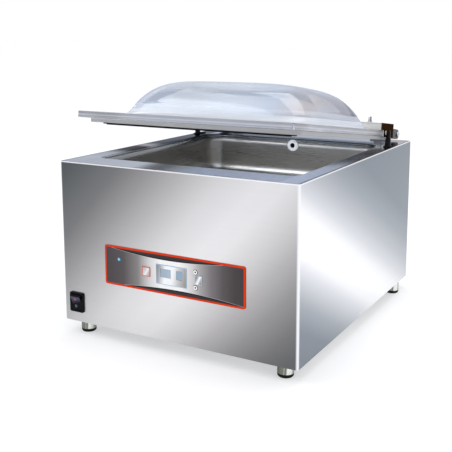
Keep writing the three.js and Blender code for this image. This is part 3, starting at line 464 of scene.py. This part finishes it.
steel = {
    "cabinet": cabinet_steel(),
    "sheet": sheet_steel("rear_sheet", "b4b8bc"),
    "base": sheet_steel("base_sheet", "a4a7aa", (900, 3, 3)),
    "deck": deck_steel(),
    "tub": tub_steel(),
    "bracket": sheet_steel("bracket_steel", "b9bbbd", (400, 3, 3), 0.08),
}
chrome = polished("chrome", "d9dadc", (0.05, 0.12))
# Painted reflections on the foot sleeves and cap nuts: light and dark bands by facing.
sleeve_steel = painted_reflections("sleeve_steel", [
    (0.0, "5a5d54"), (0.10, "6b6f66"), (0.22, "7f8074"), (0.34, "7a7a70"), (0.42, "a8aca6"),
    (0.47, "6e746c"), (0.54, "8c928b"), (0.60, "f0f0e8"), (0.84, "eceee6"), (0.92, "a5aaa5"),
    (1.0, "8e938d"),
])
nut_chrome = painted_reflections("nut_chrome", [
    (0.0, "8c8c90"), (0.22, "f2f2f4"), (0.50, "fafafc"), (0.58, "3c3a3c"), (0.68, "1c1612"),
    (0.80, "8a6a48"), (0.90, "1c1a1a"), (1.0, "2a2420"),
])
alloy = sheet_steel("alloy", "b7b9ba", (3, 300, 300), 0.08, (0.32, 0.44))
black = moulded("black_plastic", "101114", (0.22, 0.34), Specular_IOR_Level=0.3)
gloss_black = moulded("spring_black", "040405", (0.12, 0.22), 400.0, 0.00001, Specular_IOR_Level=0.16)
housing_black = moulded("housing_black", "050607", (0.22, 0.34), Specular_IOR_Level=0.08)
rubber = moulded("rubber_black", "0a0a0b", (0.6, 0.8), 1400.0, 0.00006, Specular_IOR_Level=0.2)
gasket_rubber = moulded("gasket_silicone", "a09f9e", (0.35, 0.5), 1200.0, 0.00003)
screw_steel = polished("screw_steel", "b9bbbe", (0.15, 0.28))
# The white plastic glows a little, a painted light that keeps it bright inside the dark chamber.
painted_glow = {"Emission_Color": linear("eef2f6"), "Emission_Strength": 0.3}
white = moulded("white_plastic", "fbfcfd", (0.28, 0.4), 700.0, **painted_glow)
acrylic = clear_acrylic("clear_acrylic", 0.006, dome_tone, Transmission_Weight=1.0)
acrylic_edge = clear_acrylic("acrylic_edge", 0.16, edge_tone, Transmission_Weight=0.45)
acrylic_foot = clear_acrylic("acrylic_foot", 0.08, foot_tone, Transmission_Weight=0.45)


# ---- mesh helpers ----
def mesh_object(name, points, faces, materials, body):
    mesh = bpy.data.meshes.new(name)
    mesh.from_pydata([tuple(p) for p in points], [], faces)
    work = bmesh.new()
    work.from_mesh(mesh)
    bmesh.ops.remove_doubles(work, verts=work.verts, dist=1e-6)
    bmesh.ops.recalc_face_normals(work, faces=work.faces)
    work.to_mesh(mesh)
    work.free()
    for material in materials if isinstance(materials, list) else [materials]:
        mesh.materials.append(material)
    mesh.polygons.foreach_set("use_smooth", [True] * len(mesh.polygons))
    made = bpy.data.objects.new(name, mesh)
    bpy.context.scene.collection.objects.link(made)
    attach(made, body)
    return made


def modifier(piece, name, kind, **settings):
    made = piece.modifiers.new(name, kind)
    for key, value in settings.items():
        setattr(made, key, value)


def soften(piece, width):
    """Rounds the edges of a faceted piece and evens its shading."""
    modifier(piece, "weld", "WELD", merge_threshold=1e-6)
    modifier(piece, "round", "BEVEL", width=width, segments=2, limit_method="ANGLE",
             angle_limit=math.radians(32), use_clamp_overlap=True)
    modifier(piece, "even", "WEIGHTED_NORMAL", keep_sharp=True)


CORNER_STEPS = 12


def ring(x0, x1, y0, y1, front, rear, z, side=8):
    """A rounded rectangle at height z, counter-clockwise from above."""
    corners = [
        (x1 - front, y0 + front, front, -90), (x1 - rear, y1 - rear, rear, 0),
        (x0 + rear, y1 - rear, rear, 90), (x0 + front, y0 + front, front, 180),
    ]
    arcs = []
    for cx, cy, radius, start in corners:
        angles = [math.radians(start + 90 * i / CORNER_STEPS) for i in range(CORNER_STEPS + 1)]
        arcs.append([Vector((cx + radius * math.cos(a), cy + radius * math.sin(a), z)) for a in angles])
    points = []
    for index, arc in enumerate(arcs):
        following = arcs[(index + 1) % 4][0]
        points += arc + [arc[-1].lerp(following, i / side) for i in range(1, side)]
    return points


def inset_ring(edges, inset, front, rear, z):
    x0, x1, y0, y1 = edges
    return ring(x0 + inset, x1 - inset, y0 + inset, y1 - inset, front, rear, z)


def crown(loop, rise, levels=7):
    """Rings that carry a loop up over its middle in a low dome, ending in one point."""
    middle = sum(loop, Vector()) / len(loop)
    rings = []
    for k in range(1, levels):
        share = 1 - k / levels
        rings.append([middle.lerp(p, share) + Vector((0, 0, rise * (1 - share * share))) for p in loop])
    return rings, middle + Vector((0, 0, rise))


def stack(rings, tip=None, foot=None):
    """Points and faces through rings of equal count, with fans to a last or first point."""
    count = len(rings[0])
    points = [p for loop in rings for p in loop]
    faces = []
    for k in range(len(rings) - 1):
        for i in range(count):
            j = (i + 1) % count
            faces.append((k * count + i, k * count + j, (k + 1) * count + j, (k + 1) * count + i))
    for point, base in ((tip, (len(rings) - 1) * count), (foot, 0)):
        if point is not None:
            points.append(point)
            faces += [(base + i, base + (i + 1) % count, len(points) - 1) for i in range(count)]
    return points, faces


def turned(profile, segments=32):
    """A piece turned about the Z axis, from (radius, height) points that end on the axis or close up."""
    turns = [2 * math.pi * i / segments for i in range(segments)]
    around = [(math.cos(turn), math.sin(turn)) for turn in turns]
    return stack([[Vector((r * x, r * y, height)) for x, y in around] for r, height in profile])


def append(points, faces, more_points, more_faces):
    start = len(points)
    points += more_points
    faces += [tuple(start + i for i in face) for face in more_faces]


def placed(points, centre, normal):
    """Points drawn about the Z axis, moved to a centre and turned to face along a normal."""
    turn = Vector(normal).to_track_quat("Z", "Y").to_matrix()
    return [Vector(centre) + turn @ Vector(p) for p in points]


def seated(name, profile, centre, normal, material, body):
    """A small turned piece, its profile in mm, set on a face that looks along the normal."""
    points, faces = turned([(radius * MM, height * MM) for radius, height in profile])
    made = mesh_object(name, placed(points, centre, normal), faces, material, body)


# ---- deck and chamber ----
TUB_FRONT, TUB_REAR = 16 * MM, 34 * MM  # corner radii
TUB_DEPTH, TUB_DRAFT, TUB_FILLET = 86 * MM, 2.2 * MM, 20 * MM
RIM = 5 * MM


def rim_rings():
    """The rounded edge where the deck turns down into the chamber."""
    rings = []
    for k in range(7):
        angle = math.radians(90 * k / 6)
        out = RIM * (1 - math.sin(angle))
        z = DECK_Z - RIM * (1 - math.cos(angle))
        rings.append(inset_ring(TUB, -out, TUB_FRONT + out, TUB_REAR + out, z))
    return rings


def deck_skin():
    """The top sheet: folded outer edge, chamber mouth and a slot for each gas spring."""
    points, faces = stack(rim_rings())
    mouth = inset_ring(TUB, -RIM, TUB_FRONT + RIM, TUB_REAR + RIM, DECK_Z)
    bend, corner = 1 * MM, 4 * MM
    edges = deck_low.x, deck_high.x, deck_low.y, deck_high.y
    skirt = []
    for angle in (0, math.pi / 6, math.pi / 3, math.pi / 2):
        inset = bend * (1 - math.sin(angle))
        skirt.append(inset_ring(edges, inset, corner, corner, DECK_Z - bend * (1 - math.cos(angle))))
    skirt.append(inset_ring(edges, 0, corner, corner, deck_low.z))
    slots = []
    for side in ("left", "right"):
        low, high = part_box(f"strut_grommet_{side}")
        wall, end = 2.4 * MM, 6 * MM
        slots.append(ring(low.x + wall, high.x - wall, low.y + wall, high.y - wall, end, end, DECK_Z, side=2))
    loops = [skirt[0], mouth, *slots]
    append(points, faces, [p for loop in loops for p in loop], tessellate_polygon(loops))
    append(points, faces, *stack(skirt))
    made = mesh_object("deck_skin", points, faces, steel["deck"], "cabinet")
    modifier(made, "thickness", "SOLIDIFY", thickness=1.4 * MM, offset=-1)
    modifier(made, "even", "WEIGHTED_NORMAL")
    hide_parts("deck_plate")


def tub_skin():
    """The drawn chamber: tapered walls, a rounded foot and a slightly dished floor."""
    rings = [rim_rings()[-1]]
    floor = DECK_Z - TUB_DEPTH
    wall_top, wall_foot = DECK_Z - RIM, floor + TUB_FILLET
    levels = [(TUB_DRAFT * k / 5, wall_top + (wall_foot - wall_top) * k / 5) for k in range(1, 6)]
    for k in range(1, 9):
        angle = math.radians(90 * k / 8)
        inset = TUB_DRAFT + TUB_FILLET * (1 - math.cos(angle))
        levels.append((inset, wall_foot - TUB_FILLET * math.sin(angle)))
    for inset, z in levels:
        rings.append(inset_ring(TUB, inset, max(TUB_FRONT - inset, 5 * MM), TUB_REAR - inset, z))
    more, middle = crown(rings[-1], -1.2 * MM, 4)
    points, faces = stack(rings + more, tip=middle)
    made = mesh_object("tub_skin", points, faces, steel["tub"], "cabinet")
    modifier(made, "thickness", "SOLIDIFY", thickness=1.2 * MM, offset=-1)
    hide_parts("chamber_tub")


# ---- lid ----
def flange_ring(inset, z):
    radius = max(FLANGE["corner"] - inset, 2 * MM)
    side = SIDE_X - FLANGE["side"]
    edges = -side, side, FRONT_Y + FLANGE["front"], FRONT_Y + FLANGE["rear"]
    return inset_ring(edges, inset, radius, radius, z)


def dome_ring(rise, out, low):
    """One level of the dome: its rounded foot turns into an oval as it rises and closes in."""
    half_x, half_y = SIDE_X - DOME["side"] + out, (DOME["rear"] - DOME["front"]) / 2 + out
    middle = FRONT_Y + (DOME["front"] + DOME["rear"]) / 2
    z = low + DOME["rise"] * rise
    front, rear = DOME_CORNER["front"] + out, DOME_CORNER["rear"] + out
    closing = max(1 - rise ** DOME["fall"], 0.0) ** (1 / DOME["spread"])
    points = []
    for foot in ring(-half_x, half_x, middle - half_y, middle + half_y, front, rear, z):
        place = abs(foot.x / half_x), abs((foot.y - middle) / half_y)
        oval = (place[0] ** DOME["oval"] + place[1] ** DOME["oval"]) ** (-1 / DOME["oval"])
        scale = (1 + (oval - 1) * rise ** DOME["turn"]) * closing
        points.append(Vector((foot.x * scale, middle + (foot.y - middle) * scale, z)))
    return points


def flared(first, middle, last, steps=7):
    """Rings along the curve from the first ring to the last that leans toward the middle one."""
    rings = []
    for k in range(steps + 1):
        t = k / steps
        u, v, w = (1 - t) ** 2, 2 * t * (1 - t), t * t
        rings.append([a * u + b * v + c * w for a, b, c in zip(first, middle, last)])
    return rings


def dome_shell():
    """The clear lid in one piece: flange with rounded edges, flared foot and dome, hollow underneath."""
    low = DECK_Z + FLANGE["low"]
    high = low + FLANGE["thick"]
    out = DOME["outer"]
    back = out - DOME["wall"]
    inner_foot = high - DOME["wall"]
    flare_end = 0.16
    rises = [math.sin(math.radians(angle)) for angle in range(12, 90, 3)] + [0.9995, 0.99995]
    rises = [flare_end + (1 - flare_end) * rise for rise in rises]
    edge = 1.5 * MM
    bend = (math.pi / 6, math.pi / 3)

    outer = [flange_ring(0, low + edge), flange_ring(0, high - edge)]
    for angle in (*bend, math.pi / 2):
        outer.append(flange_ring(edge * (1 - math.cos(angle)), high - edge * (1 - math.sin(angle))))
    outer_end = dome_ring(flare_end, out, high)
    outer += flared(dome_ring(0, out + 13 * MM, high), dome_ring(0, out, high), outer_end)
    outer += [dome_ring(rise, out, high) for rise in rises]
    cap, top = crown(outer[-1], 0.0)

    inner = [flange_ring(edge, low), dome_ring(0, back + 12 * MM, low)]
    inner_end = dome_ring(flare_end, back, inner_foot)
    inner += flared(dome_ring(0, back + 9 * MM, low), dome_ring(0, back, low), inner_end)
    inner += [dome_ring(rise, back, inner_foot) for rise in rises]
    under, ceiling = crown(inner[-1], 0.0)

    lower_edge = [flange_ring(edge * (1 - math.sin(a)), low + edge * (1 - math.cos(a))) for a in bend]
    points, faces = stack(under[::-1] + inner[::-1] + lower_edge + outer + cap, tip=top, foot=ceiling)
    points = [LID_TILT @ Vector(p) for p in points]
    made = mesh_object("dome_shell", points, faces, [acrylic, acrylic_edge, acrylic_foot], "lid")
    shut = LID_TILT.inverted()
    side = SIDE_X - FLANGE["side"] - 1 * MM
    front, rear = FRONT_Y + FLANGE["front"] + 1 * MM, FRONT_Y + FLANGE["rear"] - 1 * MM
    for polygon in made.data.polygons:
        centre = shut @ polygon.center
        rim = abs(centre.x) > side or not front < centre.y < rear
        foot = high + 0.6 * MM < centre.z < high + 15 * MM
        polygon.material_index = 1 if rim else 2 if foot else 0
    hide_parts("lid_dome")


# ---- control panel and switch ----
def round_key(name):
    """A round key with a dark dimple in its bright, softly rounded face."""
    low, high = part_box(name)
    centre = Vector(((low.x + high.x) / 2, 0, (low.z + high.z) / 2))
    radius = (high.x - low.x) / 2
    face = low.y
    profile = [
        (0.0, face + 0.5 * MM), (radius * 0.36, face + 0.5 * MM), (radius * 0.42, face + 0.12 * MM),
        (radius * 0.55, face), (radius * 0.78, face + 0.02 * MM), (radius * 0.94, face + 0.25 * MM),
        (radius, face + 0.6 * MM), (radius, face + 1.9 * MM), (0.0, face + 1.9 * MM),
    ]
    points, faces = turned(profile)
    points = [Vector((centre.x + p.x, p.z, centre.z + p.y)) for p in points]
    look = Look(f"{name}_look", Metallic=0.6)
    # Dark dimple, bright face, and a rim that darkens outward; the rim's darkening is painted shade on its
    # rounded edge.
    colour = look.ramp(look.scale(look.off_line(centre.x, centre.z), 1 / radius), [
        (0.30, "221f21"), (0.42, "f2f2f2"), (0.74, "fafafa"), (0.90, "8e8b8b"), (1.0, "3c3839"),
    ])
    grain = look.noise(900.0)
    look.use("Base Color", look.shade(colour, grain, 0.95, 1.03))
    look.use("Roughness", look.spread(grain, 0.2, 0.3))
    made = mesh_object(f"{name}_cap", points, faces, look.material, name)
    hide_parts(name)


SWITCH_LOW, SWITCH_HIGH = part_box("switch_housing")
SWITCH_X, SWITCH_Z = (SWITCH_LOW.x + SWITCH_HIGH.x) / 2, (SWITCH_LOW.z + SWITCH_HIGH.z) / 2


def rocker_look():
    """Black, with a painted slate sheen on the upper half, which leans toward the floor."""
    look = Look("rocker_black", Specular_IOR_Level=0.06)
    # Painted sheen: faces that lean down take the slate tone.
    upper = look.scale(look.normal()[2], -4.0, -0.6, clamp=True)
    fine = look.noise(900.0, detail=2.0)
    look.use("Base Color", look.shade(look.mix(upper, "0c0e12", "4a5067"), fine, 0.9, 1.1))
    look.use("Roughness", look.spread(fine, 0.24, 0.34)).bump(fine, 0.00002)
    return look.material


def rocker_marks():
    """A raised red dot on the upper half of the rocker and a pale ring on the lower half."""
    middle = SWITCH_X - 1.5 * MM
    red = moulded("mark_red", "e21a22", (0.3, 0.4), 900.0, 0.00001)
    dot = [(0.0, 0.25), (1.5, 0.2), (2.2, 0.05), (2.3, -0.2), (0.0, -0.2)]
    place = (middle, FRONT_Y - 5.2 * MM, SWITCH_Z + 5.6 * MM)
    seated("rocker_dot", dot, place, (0, -0.912, -0.41), red, "rocker")
    pale = moulded("mark_grey", "7d8494", (0.3, 0.4), 900.0, 0.00001)
    hoop = [(1.7, -0.2), (1.75, 0.12), (2.5, 0.12), (2.55, -0.2), (1.7, -0.2)]
    place = (middle, FRONT_Y - 2.85 * MM, SWITCH_Z - 7.7 * MM)
    seated("rocker_ring", hoop, place, (0, -0.997, 0.074), pale, "rocker")


def indicator():
    """A small round lens near the left end of the film."""
    centre = (-SIDE_X + 134 * MM, PANEL_LOW.y, BASE_Z + 136 * MM)
    radius = 3.6
    look = Look("indicator_blue", Roughness=0.2)
    lens = [(0.0, "a8dcf6"), (0.6, "5fb4e4"), (0.78, "3e86b8"), (1.0, "6c6a6b")]
    colour = look.ramp(look.scale(look.off_line(centre[0], centre[2]), 1 / (radius * MM)), lens)
    look.use("Base Color", look.shade(colour, look.noise(900.0), 0.93, 1.05))
    profile = [(0.0, 0.8), (1.6, 0.7), (2.6, 0.45), (2.9, 0.2), (3.4, 0.2), (radius, -0.2), (0.0, -0.2)]
    seated("panel_indicator", profile, centre, (0, -1, 0), look.material, "cabinet")


def nozzle_throat():
    """The dark bowl inside the suction nozzle."""
    low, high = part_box("nozzle_ring")
    centre = ((low.x + high.x) / 2, low.y + 2.0 * MM, (low.z + high.z) / 2)
    profile = [
        (0.0, -1.8), (2.8, -1.6), (4.6, -0.8), (5.4, 0.6), (5.4, 1.2), (5.0, 1.2), (4.3, -0.3), (2.6, -1.0),
        (0.0, -1.2),
    ]
    seated("nozzle_throat", profile, centre, (0, -1, 0), rubber, "cabinet")


# ---- bars of the lid ----
def hinge_bar_look():
    """Satin steel along the bar, and a painted dark brown reflection on its two polished ends."""
    look = Look("bar_steel", Specular_IOR_Level=0.0)
    facing = look.math("ABSOLUTE", look.normal()[0])
    # Painted dark reflection on the ends: dark brown, and less metallic so it stays dark.
    tone = look.mix(look.step(facing, 0.8, 0.1), "e6e4dc", "2e1c0e")
    look.use("Metallic", look.below(facing, 0.8, 0.1, 0.85))
    grain = look.noise(1.0, (3, 400, 400), 3.0)
    look.use("Base Color", look.shade(tone, grain, 0.94, 1.04))
    look.use("Roughness", look.spread(grain, 0.2, 0.3))
    return look.material


def counter_bar_look():
    """Warm alloy with a cooler upper lip."""
    look = Look("bar_alloy", Metallic=0.7)
    lip = look.step(look.lid_height(), 3.4 * MM, 0.5 * MM)
    grain = look.noise(1.0, (4, 400, 400), 3.0)
    look.use("Base Color", look.shade(look.mix(lip, "b3a78f", "b9bcc2"), grain, 0.9, 1.06))
    look.use("Roughness", look.spread(grain, 0.25, 0.38))
    return look.material


# ---- screws and louvres ----
SCREW = [
    (0.0, -1.2), (1.3, -1.2), (1.35, 0.0), (2.1, -0.05), (2.9, -0.5), (3.4, -1.2), (3.6, -2.0), (3.6, -2.4),
    (0.0, -2.4),
]
SCREW_PROUD = 2.2


def screws(name, places, normal, body, size=1.0):
    """Button heads with a round socket, seated on a face."""
    points, faces = [], []
    profile = [(r * size * MM, (h + SCREW_PROUD) * size * MM) for r, h in SCREW]
    head, head_faces = turned(profile, segments=20)
    for place in places:
        append(points, faces, placed(head, place, normal), head_faces)
    made = mesh_object(name, points, faces, screw_steel, body)
    modifier(made, "even", "EDGE_SPLIT", split_angle=math.radians(50))


def all_screws():
    rear = [(x * MM, shell_high.y, z * MM) for z in (38, 180, 320) for x in (-232, 232)]
    rear += [(x * MM, shell_high.y, z * MM) for z in (38, 320) for x in (-80, 80)]
    screws("rear_screws", rear, (0, 1, 0), "cabinet")
    bracket = [(x * MM, HINGE.y, DECK_Z + 3.3 * MM) for x in (-190.5, -165.5, 165.5, 190.5)]
    screws("bracket_screws", bracket, (0, 0, 1), "cabinet", 0.9)
    base = [(x * MM, y * MM, BASE_Z) for x in (-200, 0, 200) for y in (-200, 230)]
    screws("base_screws", base, (0, 0, -1), "cabinet")
    inlet = [((165 + dx) * MM, shell_high.y + 3 * MM, 72 * MM) for dx in (-19.5, 19.5)]
    screws("inlet_screws", inlet, (0, 1, 0), "cabinet", 0.7)


LOUVRE = {
    "centres": (-95 * MM, 0.0), "rows": 7, "low": 90 * MM, "pitch": 14 * MM,
    "half": 36.6 * MM, "taper": 2.2 * MM, "reach": 3.2 * MM, "height": 6.5 * MM,
}


def louvre_hoods():
    """Pressed hoods over the rear louvres, open at their lower edge."""
    points, faces = [], []
    around, along = 6, 24
    row_length = along + 1
    starts = [k * row_length + i for k in range(around) for i in range(along)]
    quads = [(a, a + 1, a + row_length + 1, a + row_length) for a in starts]
    for centre in LOUVRE["centres"]:
        for row in range(LOUVRE["rows"]):
            hood = []
            for k in range(around + 1):
                angle = math.radians(90 * k / around)
                proud = LOUVRE["reach"] * math.sin(angle)
                half = LOUVRE["half"] - LOUVRE["taper"] * math.sin(angle)
                z = LOUVRE["low"] + LOUVRE["pitch"] * row + LOUVRE["height"] * math.cos(angle) - 0.4 * MM
                for i in range(row_length):
                    t = 2 * i / along - 1
                    y = shell_high.y + proud * (1 - 0.9 * abs(t) ** 8)
                    hood.append(Vector((centre + half * t, y, z)))
            append(points, faces, hood, quads)
    made = mesh_object("louvre_hoods", points, faces, steel["sheet"], "cabinet")
    modifier(made, "thickness", "SOLIDIFY", thickness=0.8 * MM, offset=-1)


# ---- dress the CAD nodes ----
def node_looks():
    """The material of each CAD node that stays visible."""
    # How metallic and rough each silver is, and how far its painted sheen leans.
    silver = (0.2, 0.32, -0.1)
    key = (0.2, 0.3, -0.6)
    looks = {
        "cabinet_shell": steel["cabinet"],
        "rear_panel": steel["sheet"],
        "base_plate": steel["base"],
        "panel_overlay": panel_film(),
        "display_frame": edged_plate("display_silver", "display_frame", [
            (0.0, "6c6d70"), (0.14, "a4a6a9"), (0.32, "f2f3f4"), (0.55, "f0f0f0"), (0.72, "c4c1bf"),
            (1.0, "857f7d"),
        ], "a5c6dd", 0.9 * MM, *silver),
        "start_key": edged_plate("start_silver", "start_key", [
            (0.0, "a8a4a2"), (0.35, "c9c6c4"), (0.55, "e9e7e6"), (0.75, "b4b0ae"), (1.0, "a19d9b"),
        ], "e0502a", 1.2 * MM, *key),
        "enter_key": edged_plate("enter_silver", "enter_key", [
            (0.0, "a09b99"), (0.28, "8f8987"), (0.40, "d9d7d8"), (0.52, "fbfbfb"), (0.64, "bdb8b9"),
            (0.8, "8f8a8c"), (1.0, "7f8ca4"),
        ], "b4cde0", 0.8 * MM, *key),
        "switch_housing": housing_black,
        "switch_rocker": rocker_look(),
        "nozzle_ring": white,
        "lid_gasket": gasket_rubber,
        "counter_bar": counter_bar_look(),
        "counter_bar_pad": rubber,
        "hinge_bar": hinge_bar_look(),
        "hinge_shaft": polished("shaft_grey", "c6c9cd", (0.25, 0.35)),
        "seal_bar": alloy,
        "seal_element": striped("seal_tape", "8c6a3c", "70522b", "X", 0.7 * MM, Roughness=0.55),
        "mains_inlet": black,
        "exhaust_outlet": black,
        "suction_hose": rubber,
        "vacuum_pump": moulded("pump_casting", "5a6068", (0.45, 0.6), 300.0, 0.0002, Metallic=0.5),
        "pump_motor": moulded("motor_grey", "6d7278", (0.4, 0.55), 300.0, 0.0001, Metallic=0.3),
        "transformer": striped("laminations", "6f6a64", "3f3b37", "Z", 0.9 * MM, Metallic=0.6, Roughness=0.5),
        "solenoid_valve": moulded("valve_brass", "8c6f3c", (0.3, 0.45), 300.0, 0.0001, Metallic=0.8),
        "control_board": striped("circuit_board", "1f6b3a", "195a30", "X", 5.08 * MM, Roughness=0.45),
    }
    glass = [(0.0, "97a9ba"), (0.5, "9fb0bf"), (1.0, "aab9c6")]
    lens = edged_plate("lcd_lens", "display_window_left", glass, "8ea6ba", 0.5 * MM, 0.0, 0.12)
    pairs = {
        "display_window": lens, "hinge_arm": black, "hinge_bracket": steel["bracket"], "cap_nut": nut_chrome,
        "ball_stud": chrome, "gas_cylinder": gloss_black, "gas_rod": chrome, "strut_grommet": rubber,
        "strut_anchor": steel["bracket"], "seal_lift": alloy, "foot_sleeve_front": sleeve_steel,
        "foot_sleeve_rear": sleeve_steel, "foot_pad_front": rubber, "foot_pad_rear": rubber,
    }
    looks.update({f"{name}_{side}": look for name, look in pairs.items() for side in ("left", "right")})
    return looks


# Thin pieces get a finer edge, and folded sheets with holes keep their flat faces.
THIN = {
    "start_key", "enter_key", "display_frame", "panel_overlay", "display_window_left", "display_window_right",
}
FLAT = {"rear_panel", "base_plate"}


def dress():
    for name, material in node_looks().items():
        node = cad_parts[name]
        node.data.materials.clear()
        node.data.materials.append(material)
        node.data.polygons.foreach_set("use_smooth", [name not in FLAT] * len(node.data.polygons))
        if name not in FLAT:
            soften(node, 0.2 * MM if name in THIN else 0.5 * MM)


dress()
deck_skin()
tub_skin()
dome_shell()
round_key("up_key")
round_key("down_key")
rocker_marks()
indicator()
louvre_hoods()
nozzle_throat()
all_screws()


# ---- floor, light and camera ----
def stage_floor():
    half = 25.0
    mesh = bpy.data.meshes.new("floor")
    corners = [(-half, -half, 0), (half, -half, 0), (half, half, 0), (-half, half, 0)]
    mesh.from_pydata(corners, [], [(0, 1, 2, 3)])
    mesh.materials.append(floor_look())
    floor = bpy.data.objects.new("floor", mesh)
    bpy.context.scene.collection.objects.link(floor)


LAMP_TARGET = Vector((0, 0, 0.25))


def soft_box(name, place, width, depth, power):
    """A white area lamp that faces the machine's middle."""
    data = bpy.data.lights.new(name, "AREA")
    data.shape = "RECTANGLE"
    data.size, data.size_y, data.energy = width, depth, power
    lamp = bpy.data.objects.new(name, data)
    lamp.location = place
    lamp.rotation_mode = "QUATERNION"
    lamp.rotation_quaternion = (LAMP_TARGET - Vector(place)).to_track_quat("-Z", "Y")
    bpy.context.scene.collection.objects.link(lamp)


def studio_world():
    """White behind the machine, with a soft cool gradient for its reflections."""
    world = bpy.data.worlds.new("studio")
    bpy.context.scene.world = world
    world.use_nodes = True
    tree = world.node_tree
    back = tree.nodes["Background"]
    place = tree.nodes.new("ShaderNodeTexCoord")
    split = tree.nodes.new("ShaderNodeSeparateXYZ")
    tree.links.new(place.outputs["Generated"], split.inputs[0])
    ramp = tree.nodes.new("ShaderNodeValToRGB")
    tree.links.new(split.outputs["Z"], ramp.inputs["Fac"])
    fill_ramp(ramp.color_ramp, [
        (0.0, (0.62, 0.66, 0.76, 1)), (0.28, (0.66, 0.70, 0.80, 1)), (0.55, (0.92, 0.93, 0.96, 1)),
        (1.0, (1.0, 1.0, 1.02, 1)),
    ])
    path = tree.nodes.new("ShaderNodeLightPath")
    mix = tree.nodes.new("ShaderNodeMix")
    mix.data_type = "RGBA"
    tree.links.new(path.outputs["Is Camera Ray"], mix.inputs[0])
    tree.links.new(ramp.outputs["Color"], mix.inputs[6])
    mix.inputs[7].default_value = (1, 1, 1, 1)
    tree.links.new(mix.outputs[2], back.inputs["Color"])


def photo_camera():
    """The photo's viewpoint: from the front right, a little above the deck."""
    data = bpy.data.cameras.new("camera")
    data.lens, data.sensor_width = 62.06, 36
    data.shift_x, data.shift_y = 0.0044, -0.148
    camera = bpy.data.objects.new("camera", data)
    azimuth, elevation, roll = math.radians(29.90), math.radians(9), math.radians(-0.19)
    level = math.cos(elevation)
    forward = Vector((-math.sin(azimuth) * level, math.cos(azimuth) * level, -math.sin(elevation)))
    camera.location = (0.7339, -1.3795, 0.5606)
    camera.rotation_mode = "QUATERNION"
    aim = forward.to_track_quat("-Z", "Y")
    camera.rotation_quaternion = aim @ Matrix.Rotation(roll, 4, "Z").to_quaternion()
    bpy.context.scene.collection.objects.link(camera)
    bpy.context.scene.camera = camera


stage_floor()
studio_world()
soft_box("key_box", (-1.5, -1.5, 1.9), 1.6, 1.2, 12)
soft_box("top_box", (0.2, 0.3, 2.3), 1.6, 1.2, 12)
soft_box("side_box", (1.9, 0.6, 1.2), 1.0, 1.4, 5)
photo_camera()
bpy.context.scene.view_settings.view_transform = "Standard"
